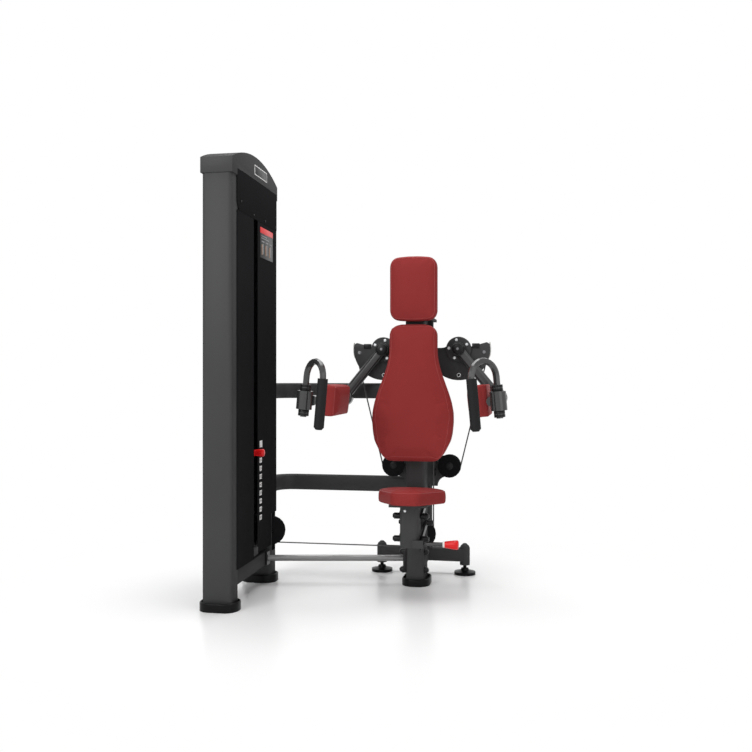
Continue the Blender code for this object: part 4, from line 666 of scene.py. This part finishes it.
def cam_fittings(label, side):
    """Hub flange, elbow knuckle, hub cap, bolts, inspection ring, cable clamp and cable tail of one arm."""
    body = label + "_arm"
    x = side * PIVOT_X
    bm = bmesh.new()
    flange = [(0.026, 0.018), (0.0535, 0.018), (0.0555, 0.016), (0.0555, 0.0002), (0.026, 0.0002),
              (0.026, 0.018)]
    add_turned(bm, flange, (x, CAM_FRONT, PIVOT_Z), FRONT, 48)
    knuckle = [(0, 0.026), (0.033, 0.026), (0.0380, 0.0235), (0.0395, 0.019), (0.0395, -0.019),
               (0.0380, -0.0235), (0.033, -0.026), (0, -0.026)]
    add_turned(bm, knuckle, (side * BAR_X, 0.105, BAR_Z), FRONT, 40, 1)
    finished(label + "_hub_flange", bm, ["cam", "arm"], body)
    bm = bmesh.new()
    cap = [(0, 0.010), (0.016, 0.010), (0.024, 0.007), (0.0265, 0.002), (0.0265, 0), (0, 0)]
    add_turned(bm, cap, (x, 0.078, PIVOT_Z), FRONT, 32)
    # The black sleeve over the hub barrel is partly a real black cap and partly painted shade round the hub.
    sleeve = [(0.027, 0.041), (0.0295, 0.041), (0.0305, 0.039), (0.0305, 0.002), (0.0295, 0), (0.027, 0),
              (0.027, 0.041)]
    add_turned(bm, sleeve, (x, CAM_FRONT - 0.017, PIVOT_Z), FRONT, 32)
    plug = [(0, 0.001), (0.0062, 0.001), (0.0062, -0.004), (0, -0.004)]
    add_turned(bm, plug, (x, CAM_FRONT, PIVOT_Z - RING_DROP), FRONT, 20)
    low = PIVOT_Z + 0.004
    clamp = x + side * 0.0755
    half = 0.0165
    add_block(bm, (clamp - half, CAM_FRONT - 0.005, low),
              (clamp + half, CAM_FRONT + 0.020, low + 0.022), 0.0015)
    add_hex(bm, (clamp, CAM_FRONT - 0.005, low + 0.011), FRONT, 0.0045, 0.004)
    finished(label + "_hub_cap", bm, "black_steel", body)
    bm = bmesh.new()
    bolts, bolt_ring = 5, 0.0425
    for k in range(bolts):
        a = math.radians(90 - side * 60 + 360 // bolts * k)
        spot = (x + bolt_ring * math.cos(a), CAM_FRONT - 0.018, PIVOT_Z + bolt_ring * math.sin(a))
        add_hex(bm, spot, FRONT, 0.0050, 0.0045)
    ring = [(0.0062, 0.0018), (0.0086, 0.0018), (0.0092, 0.0012), (0.0092, 0), (0.0062, 0), (0.0062, 0.0018)]
    add_turned(bm, ring, (x, CAM_FRONT, PIVOT_Z - RING_DROP), FRONT, 24)
    add_hex(bm, (x, 0.068, PIVOT_Z), FRONT, 0.0045, 0.004, 1)
    add_hex(bm, (x + side * 0.112, CAM_FRONT, PIVOT_Z - 0.013), FRONT, 0.0058, 0.005, 1)
    finished(label + "_cam_bolts", bm, ["steel", "dull_steel"], body)
    # The cable's end lies on the cam's rim, then dips into the groove.
    rim, dip, back = 0.1400, 0.0100, 0.009
    steps = 13
    tail = []
    for k in range(steps):
        a = math.radians(13 - 4 * k)
        far = rim - dip * max(k - 6, 0) / 6
        tail.append((x + side * far * math.cos(a), CABLE_Y - back + back * k / steps,
                     PIVOT_Z + far * math.sin(a)))
    # The tail's pale tone is painted highlight, as on the cam cables.
    finished(label + "_cable_tail", wire(label + "_cable_tail", tail, 0.0028), "pale_wire", body)


class MACHINE_OT_details(bpy.types.Operator):
    """Add pulley hubs, shaft nuts, foot nuts and cable ferrules"""
    bl_idname = "machine.details"
    bl_label = "Details"

    def execute(self, context):
        spots = {"lower_pulley_left": (-PULLEY_X, PULLEY_Z), "lower_pulley_right": (PULLEY_X, PULLEY_Z),
                 "floating_pulley": (0, BLOCK_Z)}
        half_thick = 0.011
        hub = [(0.0085, 0.0032), (0.0150, 0.0032), (0.0165, 0.0020), (0.0165, 0), (0.0085, 0),
               (0.0085, 0.0032)]
        rim = [(0.0375, 0.0012), (0.0405, 0.0012), (0.0410, 0.0006), (0.0410, 0), (0.0375, 0),
               (0.0375, 0.0012)]
        for name, (x, z) in spots.items():
            bm = bmesh.new()
            for turn in (-1, 1):
                add_turned(bm, hub, (x, CABLE_Y + turn * half_thick, z), (0, turn, 0), 32, 1)
                add_turned(bm, rim, (x, CABLE_Y + turn * half_thick, z), (0, turn, 0), 48)
            finished(name + "_rings", bm, ["pulley", "black_steel"], name)
        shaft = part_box("left_arm")[1].y
        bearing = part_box("pivot_head")[1].y
        for label, side in SIDES:
            bm = bmesh.new()
            add_hex(bm, (side * PIVOT_X, shaft, PIVOT_Z), (0, 1, 0), 0.0115, 0.009)
            finished(label + "_shaft_nut", bm, "dull_steel", label + "_arm")
        bm = bmesh.new()
        ring = [(0.0185, 0.0016), (0.0300, 0.0016), (0.0312, 0.0008), (0.0312, 0), (0.0185, 0),
                (0.0185, 0.0016)]
        for side in (-1, 1):
            add_turned(bm, ring, (side * PIVOT_X, bearing, PIVOT_Z), (0, 1, 0), 36)
        foot_nut = 0.045
        for name in ("left_foot", "right_foot"):
            low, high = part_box(name)
            middle = (low + high) / 2
            add_hex(bm, (middle.x, middle.y, foot_nut), (0, 0, 1), 0.0125, 0.010)
        finished("rings_and_nuts", bm, "black_steel", "frame")
        ferrule = [(0.0034, 0.034), (0.0048, 0.033), (0.0062, 0.030), (0.0062, 0.004), (0.0075, 0.003),
                   (0.0075, 0), (0.0034, 0), (0.0034, 0.034)]
        ends = (("carriage", "carriage", TOWER_X, LIFT_Y), ("floating_fork", "block", 0, CABLE_Y))
        for name, body, x, y in ends:
            bm = bmesh.new()
            add_turned(bm, ferrule, (x, y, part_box(name)[1].z - 0.0005), (0, 0, 1), 24)
            finished(name + "_ferrule", bm, "dull_steel", body)
        return {"FINISHED"}


class MACHINE_OT_cables(bpy.types.Operator):
    """Make the moving cable runs"""
    bl_idname = "machine.cables"
    bl_label = "Cables"

    def execute(self, context):
        radius = settings().machine_sizes.cable_radius
        # Each line is a groove's radius and how far out the cable's middle sits on it.
        sit = 0.0036
        cam = Vector((-PIVOT_X, PIVOT_Z))
        lower = Vector((-PULLEY_X, PULLEY_Z))
        cam_line = 0.1265 + sit
        lower_line = 0.045 + sit
        float_line = 0.0475 + sit
        run = lower - cam
        share = (cam_line - lower_line) / run.length
        along = run.normalized()
        leave = along * share + Vector((along.y, -along.x)) * math.sqrt(1 - share * share)
        block = Vector((0, BLOCK_Z))
        run = block - lower
        share = (lower_line + float_line) / run.length
        along = run.normalized()
        climb = along * share + Vector((along.y, -along.x)) * math.sqrt(1 - share * share)
        start = math.degrees(math.atan2(leave.y, leave.x)) % 360
        turn = 360 + math.degrees(math.atan2(climb.y, climb.x))
        top = cam + leave * cam_line
        outer = [(top.x, CABLE_Y, top.y)] + circle(lower.x, lower.y, lower_line, start, turn, 24)
        for label, side in (("left", 1), ("right", -1)):
            bm = wire(label + "_outer_run", [(x * side, y, z) for x, y, z in outer], radius)
            piece = finished(label + "_outer_run", bm, "wire", "frame")
            if label == "left":
                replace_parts(piece, "arm_cable")
        low = lower + climb * lower_line
        high = block - climb * float_line
        leg = [low.lerp(high, k / 30) for k in range(1, 30)]
        over = circle(0, BLOCK_Z, float_line, math.degrees(math.atan2(-climb.y, -climb.x)), 90, 12)
        left = [(p.x, CABLE_Y, p.y) for p in leg] + over
        loop = left + [(-x, y, z) for x, y, z in reversed(left[:-1])]
        piece = finished("block_loop", wire("block_loop", loop, radius), "wire", None)
        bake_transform(piece)
        low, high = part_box("lift_cable")
        points = [(TOWER_X, LIFT_Y, high.z + 0.001 - (high.z - low.z) * k / 40) for k in range(41)]
        piece = finished("lift_run", wire("lift_run", points, radius), "wire", None)
        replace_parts(piece, "lift_cable")
        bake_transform(piece)
        low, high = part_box("block_cable")
        points = [(0, CABLE_Y, high.z + 0.001 - (high.z - low.z) * k / 16) for k in range(17)]
        piece = finished("block_run", wire("block_run", points, radius), "wire", None)
        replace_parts(piece, "block_cable")
        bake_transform(piece)
        return {"FINISHED"}


class MACHINE_OT_knobs(bpy.types.Operator):
    """Make the selector pin, the seat lever and the handle collars"""
    bl_idname = "machine.knobs"
    bl_label = "Knobs and collars"

    def execute(self, context):
        low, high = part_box("selector_pin")
        bm = bmesh.new()
        z = (low.z + high.z) / 2
        shaft = high.x - 0.042
        outward = (1, 0, 0)
        add_turned(bm, [(0.005, shaft - low.x), (0.005, 0.004), (0.003, 0), (0, 0)], (low.x, LIFT_Y, z),
                   outward, 20)
        knob = [(0, 0.0420), (0.009, 0.0415), (0.0135, 0.0398), (0.0155, 0.0365), (0.0158, 0.0320),
                (0.0152, 0.0220), (0.0142, 0.0130), (0.0132, 0.0080), (0.0136, 0.0055), (0.0136, 0.0010),
                (0.0125, 0), (0, 0)]
        add_turned(bm, knob, (shaft, LIFT_Y, z), outward, 28, 1)
        piece = finished("selector_knob", bm, ["steel", "red"], "selector_pin")
        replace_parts(piece, "selector_pin")
        low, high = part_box("seat_pull_pin")
        y = (low.y + high.y) / 2
        z = (low.z + high.z) / 2
        bm = bmesh.new()
        base = (low.x, y, z)
        rod, neck = 0.0088, 0.087
        add_turned(bm, [(rod, neck), (rod, 0.0185), (0.0045, 0.0177), (0.0045, 0.001), (0.003, 0), (0, 0)],
                   base, outward, 24)
        add_turned(bm, [(rod, 0.096), (0.0118, 0.096), (0.0122, 0.0948), (0.0122, 0.0882), (0.0115, neck),
                        (rod, neck)], base, outward, 24, 1)
        tip = high.x - low.x
        add_turned(bm, [(0, tip), (0.012, tip - 0.0005), (0.0170, tip - 0.002), (0.0192, tip - 0.006),
                        (0.0180, tip - 0.020), (0.0150, tip - 0.042), (0.0134, tip - 0.054),
                        (0.0120, tip - 0.057), (rod, tip - 0.057)], base, outward, 28, 2)
        piece = finished("seat_lever", bm, ["arm", "white", "red"], "seat_pull_pin")
        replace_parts(piece, "seat_pull_pin")
        for label, side in (("left", 1), ("right", -1)):
            bm = bmesh.new()
            up = Vector((SLEEVE_UP.x * side, 0, SLEEVE_UP.z))
            spot = Vector((SLEEVE.x * side, SLEEVE.y, SLEEVE.z))
            ring = [(0.0128, 0.0250), (0.0190, 0.0250), (0.0208, 0.0235), (0.0208, 0.0150), (0.0196, 0.0140),
                    (0.0196, 0.0125), (0.0208, 0.0115), (0.0208, 0.0015), (0.0200, 0.0004), (0.0128, 0.0004)]
            half_sleeve = 0.0355
            add_turned(bm, ring, spot + up * half_sleeve, up, 28)
            add_turned(bm, ring, spot - up * half_sleeve, -up, 28)
            finished(label + "_collars", bm, "black_steel", label + "_handle")
        return {"FINISHED"}


class MACHINE_OT_tower_trim(bpy.types.Operator):
    """Add number labels, bare placard, bare badge and slot trim to the tower"""
    bl_idname = "machine.tower_trim"
    bl_label = "Tower trim"

    def execute(self, context):
        face, deep = SKIN_FACE, SKIN_BACK
        top = 1.536
        bm = bmesh.new()
        add_block(bm, (deep, -0.550, 0.150), (face, -0.350, top), 0.0008)
        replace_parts(finished("front_skin", bm, "panel", "frame"), "shroud_front")
        bm = bmesh.new()
        add_block(bm, (deep, -0.295, 0.165), (face, -0.1120, top), 0.0008)
        add_block(bm, (deep, -0.1125, 0.300), (face, -0.036, top), 0.0008)
        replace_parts(finished("rear_skin", bm, "panel", "frame"), "shroud_rear")
        self.header(deep, face + 0.0012)
        plates = 11
        low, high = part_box("weight_stack")
        pitch = (high.z - low.z) / plates
        upright = Matrix(((0, 0, 1, 0), (1, 0, 0, 0), (0, 1, 0, 0), (0, 0, 0, 1)))
        bm = bmesh.new()
        for k in range(3, plates):
            z = low.z + (k + 0.5) * pitch + 0.004
            add_block(bm, (face - 0.0004, -0.275, z - 0.0105), (face + 0.0006, -0.247, z + 0.0105), 0.0003)
            place = Matrix.Translation((face + 0.0007, -0.261, z)) @ upright
            add_words(bm, str(10 * (plates - k)), 0.015, place, 1)
        add_block(bm, (face - 0.0004, -0.275, 0.598), (face + 0.0006, -0.240, 0.626), 0.0003)
        finished("plate_labels", bm, ["white", "black_steel"], "frame")
        bm = bmesh.new()
        add_block(bm, (face - 0.0005, -0.268, 1.389), (face + 0.0010, -0.094, 1.516), 0.0006)
        add_block(bm, (face - 0.0005, -0.268, 1.492), (face + 0.0016, -0.094, 1.516), 0.0006, 1)
        for k in range(3):
            y = -0.250 + 0.052 * k
            add_block(bm, (face, y, 1.402), (face + 0.0016, y + 0.010, 1.446), 0.0005, 3)
            add_block(bm, (face, y + 0.013, 1.406), (face + 0.0016, y + 0.024, 1.450), 0.0005, 2)
            add_block(bm, (face, y, 1.456), (face + 0.0016, y + 0.036, 1.461), 0.0005, 2)
        for k in range(2):
            add_block(bm, (face, -0.254, 1.470 + 0.009 * k),
                      (face + 0.0016, -0.150 - 0.03 * k, 1.474 + 0.009 * k), 0.0005, 2)
        finished("placard", bm, ["black_steel", "red", "dull_steel", "tan"], "frame")
        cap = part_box("tower_cap")[1].x
        bm = bmesh.new()
        add_block(bm, (cap - 0.0005, -0.345, 1.716), (cap + 0.0014, -0.180, 1.756), 0.0009)
        add_block(bm, (cap, -0.341, 1.7195), (cap + 0.0020, -0.184, 1.7525), 0.0009, 1)
        finished("cap_badge", bm, ["white", "black_steel"], "frame")
        bm = bmesh.new()
        add_block(bm, (deep - 0.018, -0.351, 0.160), (face, -0.294, 0.192), 0.001)
        finished("slot_stop", bm, "paint", "frame")
        return {"FINISHED"}

    def header(self, deep, face):
        """The header panel with one swept lower corner and four screws."""
        low = Vector((deep, -0.552, 1.535))
        high = Vector((face, -0.036, 1.694))
        bm = bmesh.new()
        bmesh.ops.create_cube(bm, size=1, matrix=Matrix.Translation((low + high) / 2)
                              @ Matrix.Diagonal((*(high - low), 1)))
        swept = [e for e in bm.edges if all(v.co.z < 1.6 and v.co.y < -0.3 for v in e.verts)]
        bmesh.ops.bevel(bm, geom=swept, affect="EDGES", offset=0.045, segments=8, profile=0.5, material=-1)
        front = [e for e in bm.edges if all(v.co.x > face - 0.0001 for v in e.verts)]
        bmesh.ops.bevel(bm, geom=front, affect="EDGES", offset=0.001, segments=2, profile=0.5, material=-1)
        for y, z in ((-0.512, 1.574), (-0.360, 1.548), (-0.210, 1.548), (-0.060, 1.548)):
            add_dome(bm, (face - 0.0008, y, z), (1, 0, 0), 0.0032, 0.0050, 1)
        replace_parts(finished("header_skin", bm, ["panel", "black_steel"], "frame"), "header_panel")


class MACHINE_OT_stage(bpy.types.Operator):
    """Set the floor, lamps, world and camera"""
    bl_idname = "machine.stage"
    bl_label = "Studio"

    def execute(self, context):
        scene = context.scene
        values = scene.machine_stage
        scene.view_settings.view_transform = "Standard"
        bm = bmesh.new()
        bmesh.ops.create_grid(bm, x_segments=1, y_segments=1, size=30)
        mesh = bpy.data.meshes.new("studio_floor")
        bm.to_mesh(mesh)
        bm.free()
        floor = bpy.data.objects.new("studio_floor", mesh)
        floor.location.z = -0.0005
        scene.collection.objects.link(floor)
        mesh.materials.append(studio_floor(values.floor_tone))
        world = bpy.data.worlds.new("studio")
        scene.world = world
        world.use_nodes = True
        tree = world.node_tree
        back = tree.nodes["Background"]
        back.inputs["Color"].default_value = (1, 1, 1, 1)
        path = tree.nodes.new("ShaderNodeLightPath")
        seen = tree.nodes.new("ShaderNodeMath")
        seen.operation = "MAXIMUM"
        clear = tree.nodes.new("ShaderNodeMath")
        clear.operation = "MAXIMUM"
        tree.links.new(path.outputs["Is Glossy Ray"], clear.inputs[0])
        tree.links.new(path.outputs["Is Transmission Ray"], clear.inputs[1])
        tree.links.new(path.outputs["Is Camera Ray"], seen.inputs[0])
        tree.links.new(clear.outputs["Value"], seen.inputs[1])
        level = tree.nodes.new("ShaderNodeMapRange")
        level.inputs["To Min"].default_value = values.world_level
        level.inputs["To Max"].default_value = 1
        tree.links.new(seen.outputs["Value"], level.inputs["Value"])
        tree.links.new(level.outputs["Result"], back.inputs["Strength"])
        aim = Vector((-0.2, 0, 0.8))
        lamps = (("key", (-2.0, -4.0, 2.8), 2.4, values.key_power),
                 ("fill", (2.8, -3.4, 1.9), 2.5, values.fill_power),
                 ("top", (-0.2, 0.3, 4.2), 3.0, values.top_power))
        for name, spot, size, power in lamps:
            light = bpy.data.lights.new(name, "AREA")
            light.size = size
            light.energy = power
            lamp = bpy.data.objects.new(name, light)
            lamp.location = spot
            lamp.rotation_euler = (aim - Vector(spot)).to_track_quat("-Z", "Y").to_euler()
            scene.collection.objects.link(lamp)
        # The camera was fitted to the photograph's viewing angle.
        lens = bpy.data.cameras.new("photo_camera")
        lens.lens = 42.13
        lens.sensor_width = 36
        camera = bpy.data.objects.new("photo_camera", lens)
        camera.location = (0.5134, -3.779, 0.895)
        camera.rotation_euler = (math.radians(90), 0, math.radians(10.4))
        scene.collection.objects.link(camera)
        scene.camera = camera
        return {"FINISHED"}


def studio_floor(tone):
    """Pale floor with soft shadows and reflections that fades into the white backdrop."""
    material = bpy.data.materials.new("studio_floor")
    material.use_nodes = True
    tree = material.node_tree
    shader = tree.nodes["Principled BSDF"]
    shader.inputs["Base Color"].default_value = (*tone, 1)
    shader.inputs["Roughness"].default_value = 0.24
    shader.inputs["Specular IOR Level"].default_value = 0.30
    glow = tree.nodes.new("ShaderNodeEmission")
    place = tree.nodes.new("ShaderNodeTexCoord")
    shift = tree.nodes.new("ShaderNodeMapping")
    shift.inputs["Location"].default_value = (0.16, 0.06, 0)
    shift.inputs["Scale"].default_value = (0.62, 0.62, 0.62)
    round_fade = tree.nodes.new("ShaderNodeTexGradient")
    round_fade.gradient_type = "SPHERICAL"
    fade = tree.nodes.new("ShaderNodeMapRange")
    fade.interpolation_type = "SMOOTHERSTEP"
    fade.inputs["From Min"].default_value = 0.05
    fade.inputs["From Max"].default_value = 0.62
    both = tree.nodes.new("ShaderNodeMixShader")
    tree.links.new(place.outputs["Object"], shift.inputs["Vector"])
    tree.links.new(shift.outputs["Vector"], round_fade.inputs["Vector"])
    tree.links.new(round_fade.outputs["Fac"], fade.inputs["Value"])
    tree.links.new(fade.outputs["Result"], both.inputs["Fac"])
    tree.links.new(glow.outputs["Emission"], both.inputs[1])
    tree.links.new(shader.outputs["BSDF"], both.inputs[2])
    tree.links.new(both.outputs["Shader"], tree.nodes["Material Output"].inputs["Surface"])
    return material


STEPS = (MACHINE_OT_finishes, MACHINE_OT_upholstery, MACHINE_OT_shoes, MACHINE_OT_fasteners,
         MACHINE_OT_details, MACHINE_OT_cables, MACHINE_OT_knobs, MACHINE_OT_tower_trim, MACHINE_OT_stage)


class MACHINE_PT_panel(bpy.types.Panel):
    """Lists the steps that dress the machine"""
    bl_idname = "MACHINE_PT_panel"
    bl_label = "Lateral raise machine"
    bl_space_type = "VIEW_3D"
    bl_region_type = "UI"
    bl_category = "Machine"

    def draw(self, context):
        for step in STEPS:
            self.layout.operator(step.bl_idname)


CLASSES = (MachineColours, MachineSizes, MachineStage) + STEPS + (MACHINE_PT_panel,)


def register():
    """Register the classes and their values."""
    for item in CLASSES:
        bpy.utils.register_class(item)
    bpy.types.Scene.machine_colours = PointerProperty(type=MachineColours)
    bpy.types.Scene.machine_sizes = PointerProperty(type=MachineSizes)
    bpy.types.Scene.machine_stage = PointerProperty(type=MachineStage)


def unregister():
    """Take them away again."""
    del bpy.types.Scene.machine_stage
    del bpy.types.Scene.machine_sizes
    del bpy.types.Scene.machine_colours
    for item in reversed(CLASSES):
        bpy.utils.unregister_class(item)


def main():
    """Dress the machine."""
    register()
    bpy.ops.machine.finishes()
    bpy.ops.machine.upholstery()
    bpy.ops.machine.shoes()
    bpy.ops.machine.fasteners()
    bpy.ops.machine.details()
    bpy.ops.machine.cables()
    bpy.ops.machine.knobs()
    bpy.ops.machine.tower_trim()
    bpy.ops.machine.stage()


if __name__ == "__main__":
    main()
